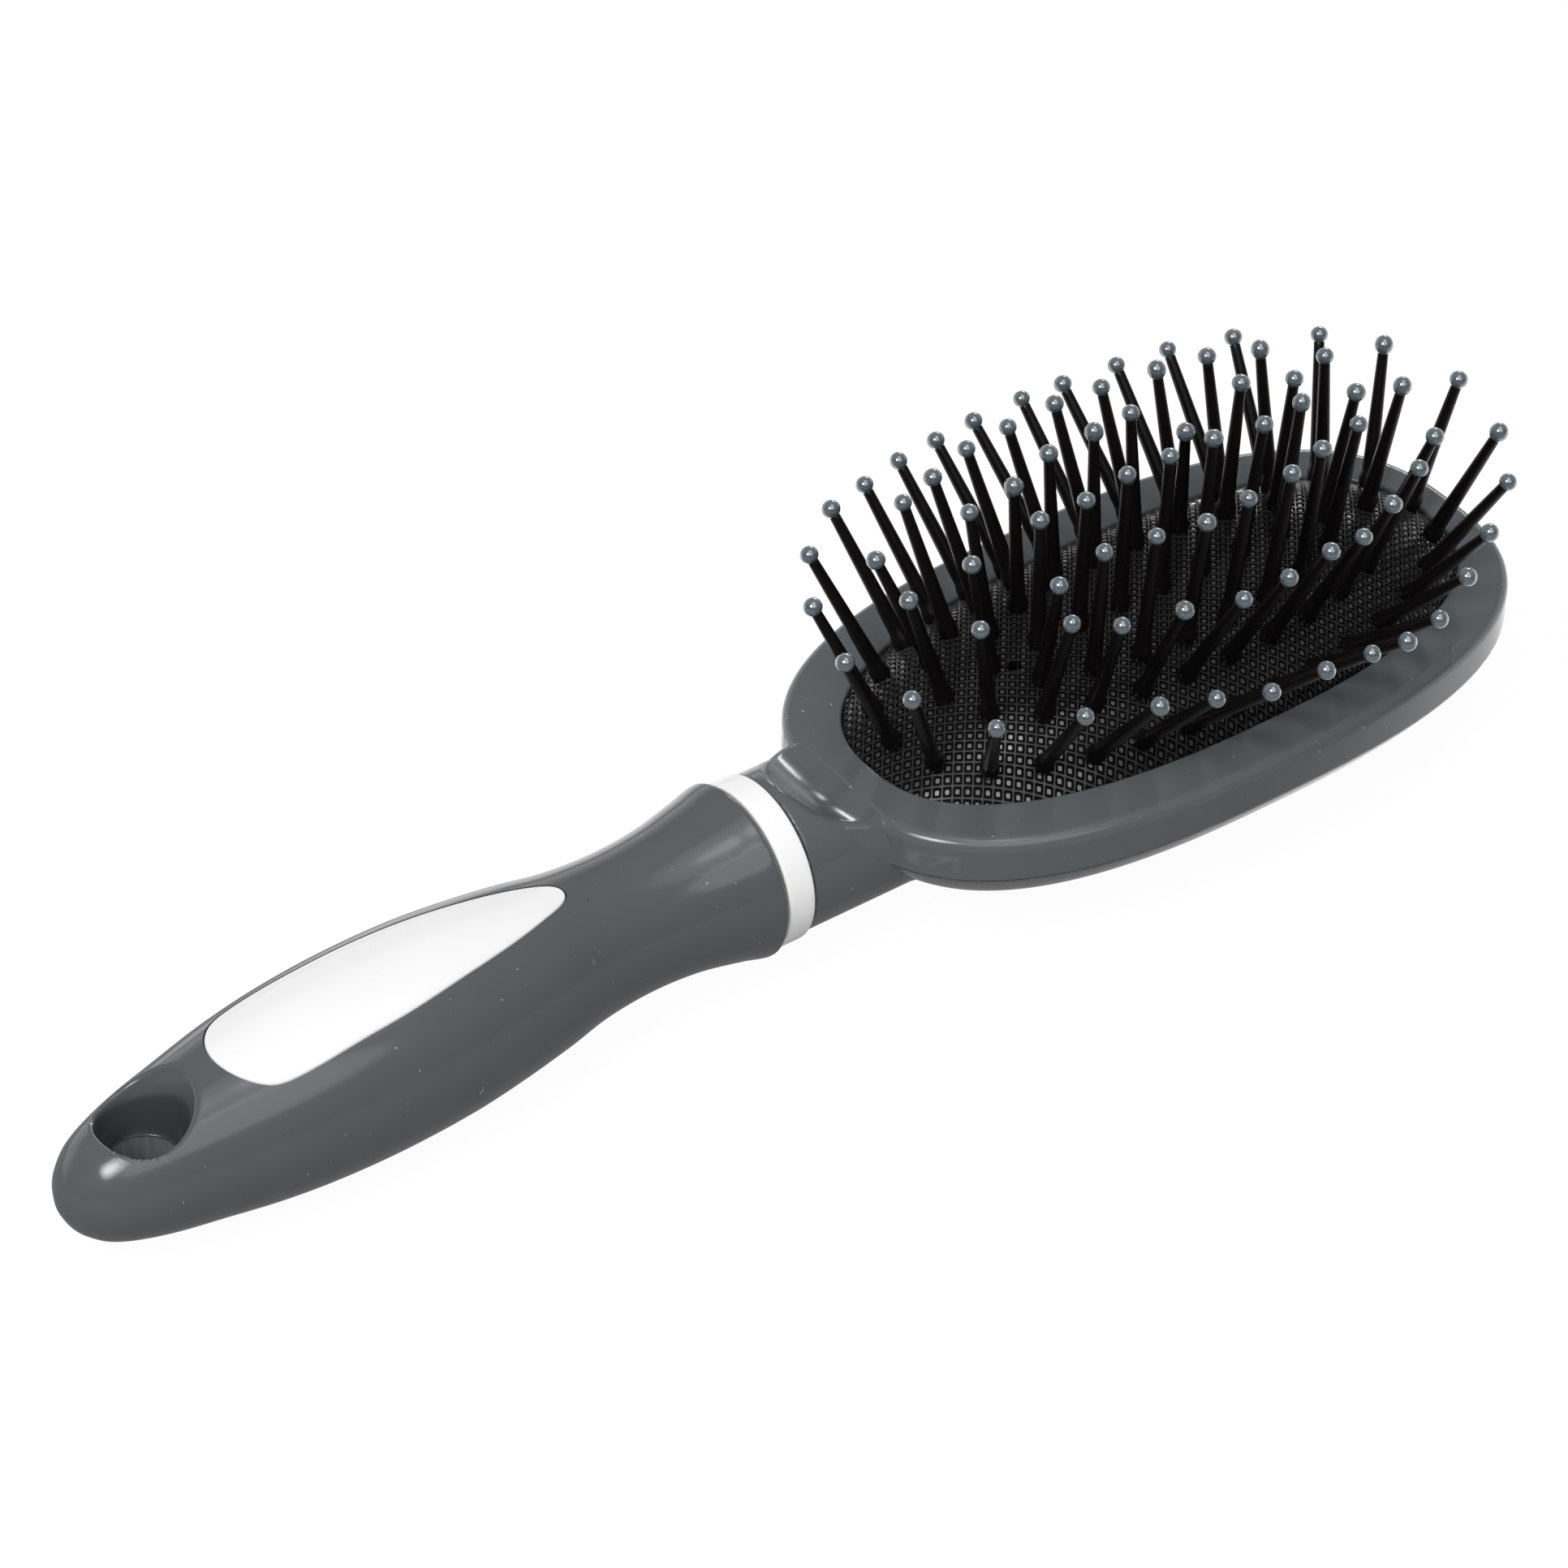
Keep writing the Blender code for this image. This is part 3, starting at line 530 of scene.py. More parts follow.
def opening_length(ahead):
    """Half length of the opening behind its middle, or ahead of it where that is asked."""
    return OPENING_HALF_LENGTH - OPENING_SHORTER_AHEAD * (ahead > 0)


def opening_gap(x, y, grow):
    """About how far outside the opening, grown by this much, a point lies."""
    x = x - OPENING_FORWARD
    length, width = opening_length(x) + grow, OPENING_HALF_WIDTH + grow
    return oval_gap(x, y, length, width, OPENING_SQUARENESS)


def back_size(z):
    """Half length and half width of the head at these heights."""
    deepest = BACK_DEPTH + BACK_FLAT_CUT - EDGE_DEPTH
    edge = np.cos(BACK_EDGE_TURN)
    depth = np.clip(-EDGE_DEPTH - z, 0, deepest * 0.995)
    turn = np.arccos(edge + (1 - edge) * depth / deepest)
    width = (HEAD_HALF_WIDTH - EDGE_TUCK) * np.sin(turn) / np.sin(BACK_EDGE_TURN)
    width = width + EDGE_TUCK * np.clip((z + EDGE_DEPTH) / (EDGE_DEPTH - FRAME_DEPTH), 0, 1)
    return HEAD_HALF_LENGTH - (HEAD_HALF_WIDTH - width) * BACK_SLIMMING, width


def back_gap(x, y, z):
    """About how far outside the head's side wall and bulged back a point lies."""
    n, reach = HEAD_SQUARENESS, 0.00005
    ax, ay = np.abs(x), np.abs(y)
    length, width = back_size(z)
    a, b = ax / length, ay / width
    f = np.maximum((a**n + b**n) ** (1 / n), 1e-6)
    slope = np.hypot(a ** (n - 1) / length, b ** (n - 1) / width) * f ** (1 - n)
    l2, w2 = back_size(z - reach)
    lower = ((ax / l2) ** n + (ay / w2) ** n) ** (1 / n)
    return (f - 1) / np.maximum(np.hypot(slope, (f - lower) / reach), 1e-3)


def head_field(x, y, z):
    """The head with its neck: negative inside, about a distance near the surface."""
    rim = oval_gap(x, y, HEAD_HALF_LENGTH, HEAD_HALF_WIDTH, HEAD_SQUARENESS)
    ahead = np.maximum(x - NECK_NOSE, 0)
    neck = np.sqrt(ahead**2 + y**2 + (z + NECK_AXIS_DEPTH) ** 2) - NECK_RADIUS
    wide = np.interp(z, (-FRAME_DEPTH, 0), (0.15, 1.0))
    sides = faceted_union(
        back_gap(x, y, z), neck, NECK_FACET_ALONG * wide, NECK_FACET_ACROSS * wide
    )
    sides = np.maximum(sides, -BACK_DEPTH - z)
    scoop = NECK_SCOOP_RADIUS - np.hypot(rim, z - NECK_SCOOP_RADIUS)
    top = np.where(rim > 0, scoop, z)
    on_head = np.clip((x + HEAD_HALF_LENGTH + 0.0005) / 0.0020, 0, 1)
    on_head = on_head * on_head * (3 - 2 * on_head)
    rounding = NECK_TOP_ROUNDING + (RIM_ROUNDING - NECK_TOP_ROUNDING) * on_head
    body = rounded_meeting(sides, top, rounding)
    body = rounded_meeting(body, NECK_END - x, 0.00025)
    air = opening_gap(x, y, AIR_SPACE_WIDER)
    return np.maximum(body, -np.maximum(air, -AIR_SPACE_DEPTH - z))


grip_x = np.linspace(GRIP_END, COLLAR_END, 3001)
grip_share = (COLLAR_END - grip_x) / GRIP_LENGTH
grip_widths = GRIP_HALF_WIDTH * smooth(grip_section_shares, grip_share, 1)
grip_heights = GRIP_HALF_HEIGHT * smooth(grip_section_shares, grip_share, 2)


def grip_middle(share):
    """Height of the grip's bent middle line at this share of its length."""
    return -NECK_AXIS_DEPTH - GRIP_AXIS_DROP * share**GRIP_DROP_BEND


def grip_size(x):
    """Half width, half height and middle height of the grip at these places."""
    middle = grip_middle(np.clip((COLLAR_END - x) / GRIP_LENGTH, 0, 1.02))
    return np.interp(x, grip_x, grip_widths), np.interp(x, grip_x, grip_heights), middle


def grip_skin(x, y, z):
    """About how far outside the grip's plain waisted skin a point lies."""
    reach = 0.00004
    width, height, middle = grip_size(x)
    f = np.maximum(np.hypot(y / width, (z - middle) / height), 1e-6)
    w2, h2, m2 = grip_size(x + reach)
    along = (np.hypot(y / w2, (z - m2) / h2) - f) / reach
    slope = np.hypot(y / width**2, (z - middle) / height**2) / f
    return (f - 1) / np.maximum(np.hypot(slope, along), 1e-3)


def grip_field(x, y, z):
    """The grip with its hanging hole: negative inside."""
    body = rounded_meeting(grip_skin(x, y, z), x - COLLAR_END, 0.0004)
    body = rounded_meeting(body, GRIP_END - x, 0.0003)
    hole_x = GRIP_END + HOLE_FROM_TAIL
    waist = grip_middle(1 - HOLE_FROM_TAIL / GRIP_LENGTH)
    flare = HOLE_MOUTH_RADIUS - HOLE_WAIST_RADIUS
    radius = HOLE_WAIST_RADIUS + flare * ((z - waist) / HOLE_MOUTH_HEIGHT) ** 2
    upper = (np.maximum(z - waist, 0) / HOLE_MOUTH_HEIGHT) ** 2
    across = (y - HOLE_MOUTH_SHIFT * upper) / (1 + HOLE_MOUTH_STRETCH * upper)
    return rounded_meeting(body, radius - np.hypot(x - hole_x, across), HOLE_LIP)


def slope_of(field, points, reach=1e-6):
    """Which way a field rises at these points."""
    made = np.empty_like(points)
    for axis in range(3):
        step = np.zeros(3)
        step[axis] = reach
        made[:, axis] = (field(*(points + step).T) - field(*(points - step).T)) / (2 * reach)
    return made


def skin(field, low, high, step):
    """Points and four-sided faces of the surface where a field is zero."""
    axes = [np.arange(a, b + step, step) for a, b in zip(low, high)]
    value = field(*np.meshgrid(*axes, indexing="ij"))
    shape = [len(a) - 1 for a in axes]
    total, crossings = np.zeros((3, *shape)), np.zeros(shape)
    for axis in range(3):
        start, end = [slice(None)] * 3, [slice(None)] * 3
        start[axis], end[axis] = slice(None, -1), slice(1, None)
        a, b = value[tuple(start)], value[tuple(end)]
        crossed = (a < 0) != (b < 0)
        part = np.where(crossed, a / np.where(crossed, a - b, 1), 0)
        for corner in range(4):
            cut, shift = [slice(None)] * 3, [0, 0, 0]
            for k, other in enumerate(((axis + 1) % 3, (axis + 2) % 3)):
                shift[other] = corner >> k & 1
                cut[other] = slice(shift[other], shape[other] + shift[other])
            here = crossed[tuple(cut)]
            crossings += here
            for i in range(3):
                line = axes[i][shift[i] : shape[i] + shift[i]]
                place = line.reshape([-1 if j == i else 1 for j in range(3)])
                total[i] += here * (place + (step * part[tuple(cut)] if i == axis else 0))
    used = crossings > 0
    number = np.full(shape, -1)
    number[used] = np.arange(used.sum())
    points = np.stack([total[i][used] / crossings[used] for i in range(3)], 1)
    faces = []
    for axis in range(3):
        order = (axis, (axis + 1) % 3, (axis + 2) % 3)
        cell = np.transpose(number, order)
        inner = np.transpose(value, order)[:, 1:-1, 1:-1] < 0
        crossed, outward = inner[:-1] != inner[1:], inner[:-1]
        corners = (cell[:, :-1, :-1], cell[:, 1:, :-1], cell[:, 1:, 1:], cell[:, :-1, 1:])
        four = np.stack([c[crossed] for c in corners], 1)
        turned = ~outward[crossed]
        four[turned] = four[turned][:, ::-1]
        faces.append(four)
    for _ in range(5):
        rise = slope_of(field, points)
        away = field(*points.T) / np.maximum((rise**2).sum(1), 0.25)
        points -= rise * np.clip(away, -step / 2, step / 2)[:, None]
    return points, np.concatenate(faces)


def fetched(items, key, size=3, kind=float):
    """One property of every item of a mesh, as an array."""
    made = np.empty(len(items) * size, kind)
    items.foreach_get(key, made)
    return made.reshape(-1, size) if size > 1 else made


def true_normals(obj, field, limit=0.8):
    """Shades a piece by its own field where its faces lie on it, and flat elsewhere."""
    mesh = obj.data
    rise = slope_of(field, fetched(mesh.vertices, "co") - HEAD, 2e-6)
    rise /= np.maximum(np.linalg.norm(rise, axis=1), 1e-9)[:, None]
    counts = fetched(mesh.polygons, "loop_total", 1, np.int32)
    flat = np.repeat(fetched(mesh.polygons, "normal"), counts, axis=0)
    normals = rise[fetched(mesh.loops, "vertex_index", 1, np.int32)]
    off = (normals * flat).sum(1) < limit
    normals[off] = flat[off]
    mesh.normals_split_custom_set(normals.tolist())


def loft(rings, closed=False):
    """Points and faces over rings of the same count, closed on itself if asked."""
    count, faces = len(rings[0]), []
    turn = np.arange(count)
    after = (turn + 1) % count
    for i in range(len(rings) - (not closed)):
        a, b = i * count, (i + 1) % len(rings) * count
        faces.append(np.stack([a + turn, a + after, b + after, b + turn], 1))
    return np.concatenate(rings), np.concatenate(faces)


def opening_lip(material):
    """The crisp inner edge of the rim, laid over the head's moulding."""
    turn = np.linspace(0, 2 * np.pi, 480, endpoint=False)
    proud = 0.000006

    def ring(grow, z):
        length, width = opening_length(np.cos(turn)) + grow, OPENING_HALF_WIDTH + grow
        x, y = oval(length, width, OPENING_SQUARENESS, turn, OPENING_FORWARD)
        return np.column_stack([x, y, 0 * x + z])

    r, rings = LIP_ROUNDING, [ring(0, -LIP_THICKNESS)]
    for k in np.linspace(0, np.pi / 2, 6):
        rings.append(ring(r * (1 - np.cos(k)), proud - r * (1 - np.sin(k))))
    rings += [ring(r + 0.00008, proud), ring(LIP_COVER, -proud), ring(LIP_COVER, -LIP_THICKNESS)]
    made = new_piece("opening_lip", *loft(rings, closed=True), material, "slate_gloss")
    tidy(made)
    made.data.set_sharp_from_angle(angle=np.radians(35))


def collar(material):
    """The pale ring, with softly rounded edges."""
    front, edge = NECK_END - GAP, 0.00028
    back = front - COLLAR_WIDTH
    profile = [(front, COLLAR_RADIUS - COLLAR_WALL)]
    for k in np.linspace(0, np.pi / 2, 6):
        profile.append((front - edge * (1 - np.cos(k)), COLLAR_RADIUS - edge * (1 - np.sin(k))))
    for k in np.linspace(0, 1, 7)[1:-1]:
        profile.append((front - edge + (back + 2 * edge - front) * k, COLLAR_RADIUS))
    for k in np.linspace(0, np.pi / 2, 6):
        profile.append((back + edge * (1 - np.sin(k)), COLLAR_RADIUS - edge * (1 - np.cos(k))))
    profile.append((back, COLLAR_RADIUS - COLLAR_WALL))
    turn = np.linspace(0, 2 * np.pi, 160, endpoint=False)
    rings = [
        np.stack([np.full_like(turn, x), r * np.cos(turn), r * np.sin(turn) - NECK_AXIS_DEPTH], 1)
        for x, r in profile
    ]
    made = new_piece("collar", *loft(rings, closed=True), material, "white_gloss")
    tidy(made)
    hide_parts("collar_ring")


def leaf_outline(grow=0.0):
    """The insert's outline, from its blunt end round by the near side and back."""
    key = (1 - np.cos(np.linspace(0, np.pi, 240))) / 2
    x = GRIP_END + INSERT_FROM_TAIL + INSERT_LENGTH * (1 - np.cos(np.pi * key)) / 2
    half = INSERT_HALF_WIDTH * np.maximum(smooth(insert_width_shares, key, 1), 0)
    near = np.stack([x, -half], 1)
    loop = np.concatenate([near, (near * (1, -1))[-2:0:-1]])
    ahead = np.roll(loop, -1, 0) - np.roll(loop, 1, 0)
    out = np.stack([ahead[:, 1], -ahead[:, 0]], 1)
    out /= np.maximum(np.linalg.norm(out, axis=1), 1e-12)[:, None]
    return loop + out * grow


def on_grip(xy, above=0.0):
    """Points on the grip's upper skin over these places."""
    width, height, middle = grip_size(xy[:, 0])
    rise = height * np.sqrt(np.maximum(1 - (xy[:, 1] / width) ** 2, 0))
    return np.column_stack([xy, middle + rise + above])


def insert(material):
    """The bare leaf-shaped plate, flush in the grip, with softly rounded edges."""
    edge, outline = 0.00022, leaf_outline()
    rings = [on_grip(outline * (1, 0), -INSERT_THICKNESS), on_grip(outline, -INSERT_THICKNESS)]
    for k in np.linspace(0, np.pi / 2, 5):
        rings.append(on_grip(leaf_outline(-edge * (1 - np.cos(k))), -edge * (1 - np.sin(k))))
    inner = leaf_outline(-edge)
    for share in (0.9, 0.75, 0.55, 0.35, 0.15, 0.0):
        rings.append(on_grip(inner * (1, share)))
    made = new_piece("insert", *loft(rings), material, "white_gloss")
    tidy(made, 2e-6)
    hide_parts("handle_insert")


def grip(material):
    """The waisted grip, with the insert's recess cut in its top."""
    low = (GRIP_END - 0.0006, -0.0111, -0.0190)
    high = (COLLAR_END + 0.0006, 0.0111, 0.0050)
    made = new_piece("grip", *skin(grip_field, low, high, 0.00030), material, "slate_gloss")
    outline = leaf_outline(INSERT_GAP)
    rings = [
        on_grip(outline * (1, 0.0), 0.003),
        on_grip(outline, 0.003),
        on_grip(outline, -INSERT_THICKNESS - GAP),
        on_grip(outline * (1, 0.0), -INSERT_THICKNESS - GAP),
    ]
    cutter = new_piece("recess_cutter", *loft(rings), material, "slate_gloss")
    tidy(cutter, 2e-6)
    cut = made.modifiers.new("Recess", "BOOLEAN")
    cut.operation, cut.solver, cut.object = "DIFFERENCE", "EXACT", cutter
    bake(made)
    bpy.data.objects.remove(cutter)
    true_normals(made, grip_field)
    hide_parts("handle_grip")


def head(material):
    """The head and its neck as one moulding, open under the cushion."""
    low = (NECK_END - 0.0008, -0.0232, -0.0172)
    high = (HEAD_HALF_LENGTH + 0.0006, 0.0232, 0.0038)
    made = new_piece("head", *skin(head_field, low, high, 0.00033), material, "slate_gloss")
    true_normals(made, head_field)
    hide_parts("head_shell", "front_frame")


def pad_share(x, y):
    """How far up the pad's levels a place is: 0 at its edge and 1 on the crest line."""
    low, high = np.full_like(x, -0.3), np.ones_like(x)
    ax, ay = np.abs(x - OPENING_FORWARD), np.abs(y)
    whole = opening_length(x - OPENING_FORWARD) + 2 * PAD_INSET
    for _ in range(40):
        share = (low + high) / 2
        n = PAD_SQUARENESS + (OPENING_SQUARENESS - PAD_SQUARENESS) * (1 - share) ** 6
        length = whole - (whole - PAD_CREST_HALF_LENGTH) * share
        width = np.maximum((OPENING_HALF_WIDTH + 2 * PAD_INSET) * (1 - share), 1e-9)
        outside = (ax / length) ** n + (ay / width) ** n > 1
        high = np.where(outside, share, high)
        low = np.where(outside, low, share)
    return (low + high) / 2


def pad_height(x, y):
    """Height of the pad's smooth skin over these places."""
    share = np.minimum(pad_share(x, y), 0.999)
    return PAD_CROWN * (1 - (1 - share) ** PAD_FULLNESS) - PAD_STEP


def waffle_cells():
    """The waffle's cells as flat points with their relief, and the faces of one cell."""
    rings = [(0.430, 0.33, 1.0), (0.370, 0.26, 0.0), (0.240, 0.16, 0.0), (0.190, 0.12, 0.6)]
    cell, relief = [(-0.5, -0.5), (0.5, -0.5), (0.5, 0.5), (-0.5, 0.5)], [1.0] * 4
    for side, straight, level in rings:
        for c, s in ((1, 0), (0, 1), (-1, 0), (0, -1)):
            for u in (-straight, straight):
                cell.append((c * u + s * side, s * u - c * side))
                relief.append(level)
    faces = []
    for turn in range(4):
        a, b = 4 + 2 * turn, 5 + 2 * turn
        faces.append((turn, (turn + 1) % 4, b, a))
        faces.append(((turn + 1) % 4, 4 + (2 * turn + 2) % 8, b))
    for ring in range(3):
        for k in range(8):
            a, b = 4 + 8 * ring + k, 4 + 8 * ring + (k + 1) % 8
            faces.append((a, b, b + 8, a + 8))
    faces.append(tuple(28 + k for k in range(8)))
    return np.array(cell), np.array(relief), faces


def cushion(material):
    """The air cushion: a crowned rubber skin with its moulded waffle, flange and vent."""
    cell, relief, cell_faces = waffle_cells()
    c, s = np.cos(WAFFLE_TURN), np.sin(WAFFLE_TURN)
    reach = int(OPENING_HALF_LENGTH / WAFFLE_PITCH) + 3
    points, reliefs, faces, start = [], [], [], 0
    for i in range(-reach, reach + 1):
        for j in range(-reach, reach + 1):
            flat = (cell + (i, j)) * WAFFLE_PITCH
            x = flat[:, 0] * c - flat[:, 1] * s
            y = flat[:, 0] * s + flat[:, 1] * c
            if opening_gap(x[:4], y[:4], PAD_INSET).min() > 0:
                continue
            points.append(np.stack([x, y], 1))
            reliefs.append(relief)
            faces += [tuple(start + k for k in face) for face in cell_faces]
            start += len(cell)
    flat, level = np.concatenate(points), np.concatenate(reliefs)
    reach = 1e-6
    for _ in range(6):
        gap = opening_gap(flat[:, 0], flat[:, 1], PAD_INSET)
        gx = opening_gap(flat[:, 0] + reach, flat[:, 1], PAD_INSET)
        gy = opening_gap(flat[:, 0], flat[:, 1] + reach, PAD_INSET)
        out = np.stack([gx - gap, gy - gap], 1) / reach
        out /= np.maximum(np.linalg.norm(out, axis=1), 1e-9)[:, None]
        flat -= out * np.maximum(gap, 0)[:, None]
    away = flat - VENT
    distance = np.linalg.norm(away, axis=1)
    around = np.flatnonzero(distance < 3 * VENT_RADIUS)
    gone = {
        face for face in faces
        if distance[face[0]] < 3 * VENT_RADIUS
        and np.hypot(*(flat[list(face)].mean(0) - VENT)) < VENT_RADIUS
    }
    faces = [face for face in faces if face not in gone]
    edge = flat[sorted({k for face in gone for k in face})]
    apart = np.linalg.norm(flat[around][:, None] - edge[None], axis=2).min(1)
    edge = around[apart < 2e-6]
    flat[edge] += away[edge] * (VENT_RADIUS / np.maximum(distance[edge], 1e-6) - 1)[:, None]

    (x, y), reach = flat.T, 1e-5
    z = pad_height(x, y)
    fall_x, fall_y = z - pad_height(x + reach, y), z - pad_height(x, y + reach)
    out = np.stack([fall_x / reach, fall_y / reach, np.ones_like(z)], 1)
    out /= np.linalg.norm(out, axis=1)[:, None]
    skin_points = np.column_stack([x, y, z]) - out * ((1 - level) * WAFFLE_DEPTH)[:, None]
    made = new_piece("cushion", skin_points, faces, material, "black_rubber")
    mark = made.data.attributes.new("relief", "FLOAT", "POINT")
    mark.data.foreach_set("value", level)

    bm = bmesh.new()
    bm.from_mesh(made.data)
    bmesh.ops.remove_doubles(bm, verts=bm.verts, dist=2e-6)
    bmesh.ops.dissolve_degenerate(bm, edges=bm.edges, dist=2e-6)
    loose = [v for v in bm.verts if not v.link_faces]
    bmesh.ops.delete(bm, geom=loose, context="VERTS")
    vent = Vector((*VENT, 0)) + Vector(HEAD)
    open_edges = [e for e in bm.edges if e.is_boundary]
    vent_edges = [e for e in open_edges if (e.verts[0].co - vent).xy.length < 2 * VENT_RADIUS]
    rim_edges = [e for e in open_edges if e not in vent_edges]

    def drawn(edges, move):
        """Extends an open edge by one band of faces, moved by a rule."""
        new = bmesh.ops.extrude_edge_only(bm, edges=edges)["geom"]
        for v in new:
            if isinstance(v, bmesh.types.BMVert):
                v.co = move(v.co)
        return [e for e in new if isinstance(e, bmesh.types.BMEdge)
                and all(v in new for v in e.verts)]

    def shifted(co, grow, z):
        local = co - Vector(HEAD)
        x, y = local.x - OPENING_FORWARD, local.y
        share = 1 + grow / np.hypot(x, y)
        return Vector((x * share + OPENING_FORWARD, y * share, z)) + Vector(HEAD)

    under = -LIP_THICKNESS - 0.00005
    edges = drawn(rim_edges, lambda co: shifted(co, 0, under))
    edges = drawn(edges, lambda co: shifted(co, PAD_FLANGE_INSET, under))
    edges = drawn(edges, lambda co: shifted(co, 0, under - PAD_WALL))
    edges = drawn(edges, lambda co: shifted(co, -PAD_FLANGE_INSET - PAD_WALL, under - PAD_WALL))
    for step in (0.8, 0.55 / 0.8, 0.3 / 0.55, 1 / 3, 1e-4):
        edges = drawn(edges, lambda co, step=step: inner_skin(co, step))
    lower = drawn(vent_edges, lambda co: Vector((co.x, co.y, co.z - 1.2 * PAD_WALL)))
    bmesh.ops.holes_fill(bm, edges=lower, sides=0)
    bmesh.ops.remove_doubles(bm, verts=bm.verts, dist=1e-6)
    bmesh.ops.recalc_face_normals(bm, faces=bm.faces)
    bm.to_mesh(made.data)
    bm.free()
    made.data.set_sharp_from_angle(angle=np.radians(40))
    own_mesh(made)
    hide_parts("cushion_pad")


def inner_skin(co, step):
    """Where a point of the pad's underside comes when drawn in to this share of its place."""
    local = co - Vector(HEAD)
    x, y = (local.x - OPENING_FORWARD) * step + OPENING_FORWARD, local.y * step
    z = pad_height(np.array([x]), np.array([y]))[0] - 1.3 * PAD_WALL
    return Vector((x, y, z)) + Vector(HEAD)


def pin_roots(share, count):
    """Where the pins of a ring, or of the middle row, leave the pad."""
    if share is None:
        x = np.linspace(-CENTRE_HALF_LENGTH, CENTRE_HALF_LENGTH, count) + OPENING_FORWARD
        return np.column_stack([x, 0 * x, 0 * x + PAD_CROWN - PAD_STEP])
    length = PAD_HALF_LENGTH - (PAD_HALF_LENGTH - PAD_CREST_HALF_LENGTH) * share
    turn = np.linspace(0, 2 * np.pi, 60 * count + 1) + np.pi
    x, y = oval(length, PAD_HALF_WIDTH * (1 - share), PAD_SQUARENESS, turn)
    run = np.r_[0, np.cumsum(np.hypot(np.diff(x), np.diff(y)))]
    wanted = run[-1] * np.arange(count) / count
    x, y = np.interp(wanted, run, x) + OPENING_FORWARD, np.interp(wanted, run, y)
    level = PAD_CROWN * (1 - (1 - share) ** PAD_FULLNESS) - PAD_STEP
    return np.column_stack([x, y, 0 * x + level])


def new_tree(name, sizes):
    """A Geometry Nodes tree with a mesh in, these named sizes, a finish and a mesh out."""
    tree = bpy.data.node_groups.new(name, "GeometryNodeTree")
    tree.interface.new_socket("Pins", in_out="INPUT", socket_type="NodeSocketGeometry")
    for label, value in sizes.items():
        kind = "NodeSocketInt" if isinstance(value, int) else "NodeSocketFloat"
        socket = tree.interface.new_socket(label, in_out="INPUT", socket_type=kind)
        socket.default_value = value
    tree.interface.new_socket("Finish", in_out="INPUT", socket_type="NodeSocketMaterial")
    tree.interface.new_socket("Made", in_out="OUTPUT", socket_type="NodeSocketGeometry")
    graph = Graph(tree)
    labels = ("Pins", *sizes, "Finish")
    return graph, dict(zip(labels, graph.node("NodeGroupInput", None, None, out=labels)))


def placed(graph, entry, shape, scale, at):
    """Stands a shape on each point of the pins' mesh, turned along the pin."""
    out = graph.node(
        "GeometryNodeInputNamedAttribute", {"data_type": "FLOAT_VECTOR"}, {"Name": "out"}
    )
    turn = graph.node("FunctionNodeAlignRotationToVector", {"axis": "Z"}, {"Vector": out})
    length = graph.node("ShaderNodeVectorMath", {"operation": "LENGTH"}, {0: out}, out="Value")
    moved = graph.node("ShaderNodeVectorMath", {"operation": "SCALE"}, {0: out, "Scale": at})
    points = graph.node(
        "GeometryNodeSetPosition", None, {"Geometry": entry["Pins"], "Offset": moved}
    )
    wide, high = scale(length)
    links = {"Points": points, "Instance": shape, "Rotation": turn}
    links["Scale"] = graph.joined(wide, wide, high)
    standing = graph.node("GeometryNodeInstanceOnPoints", None, links)
    whole = graph.node("GeometryNodeRealizeInstances", None, {0: standing})
    smooth_faces = graph.node(
        "GeometryNodeSetShadeSmooth", None, {"Geometry": whole, "Shade Smooth": True}
    )
    finished = graph.node(
        "GeometryNodeSetMaterial", None, {"Geometry": smooth_faces, "Material": entry["Finish"]}
    )
    graph.node("NodeGroupOutput", None, {"Made": finished})
    return graph.tree


def shaft_tree():
    """A tapered shaft with a bulb at its root, for each pin."""
    sizes = {"Root radius": 0.00087, "End radius": 0.00054, "Bulb": 0.00020}
    sizes |= {"Bulb start": 0.080, "Bulb end": 0.195, "Bulb rounding": 0.035}
    graph, entry = new_tree("pin_shafts", sizes | {"Sides": 14, "Steps": 26})
    bar = graph.node(
        "GeometryNodeMeshCylinder",
        {"fill_type": "NGON"},
        {"Vertices": entry["Sides"], "Side Segments": entry["Steps"], "Radius": 1.0, "Depth": 1.0},
    )
    x, y, z = graph.split(graph.node("GeometryNodeInputPosition"))
    up = z + 0.5
    low = up ** 1.7
    taper = entry["Root radius"] + (entry["End radius"] - entry["Root radius"]) * low ** 1.1
    start, end, turn = entry["Bulb start"], entry["Bulb end"], entry["Bulb rounding"]
    radius = taper + low.band(start, start + turn, end - turn, end) * entry["Bulb"]
    shaped = graph.joined(x * radius, y * radius, low)
    shape = graph.node("GeometryNodeSetPosition", None, {"Geometry": bar, "Position": shaped})
    return placed(graph, entry, shape, lambda length: (1.0, length), 0.0)


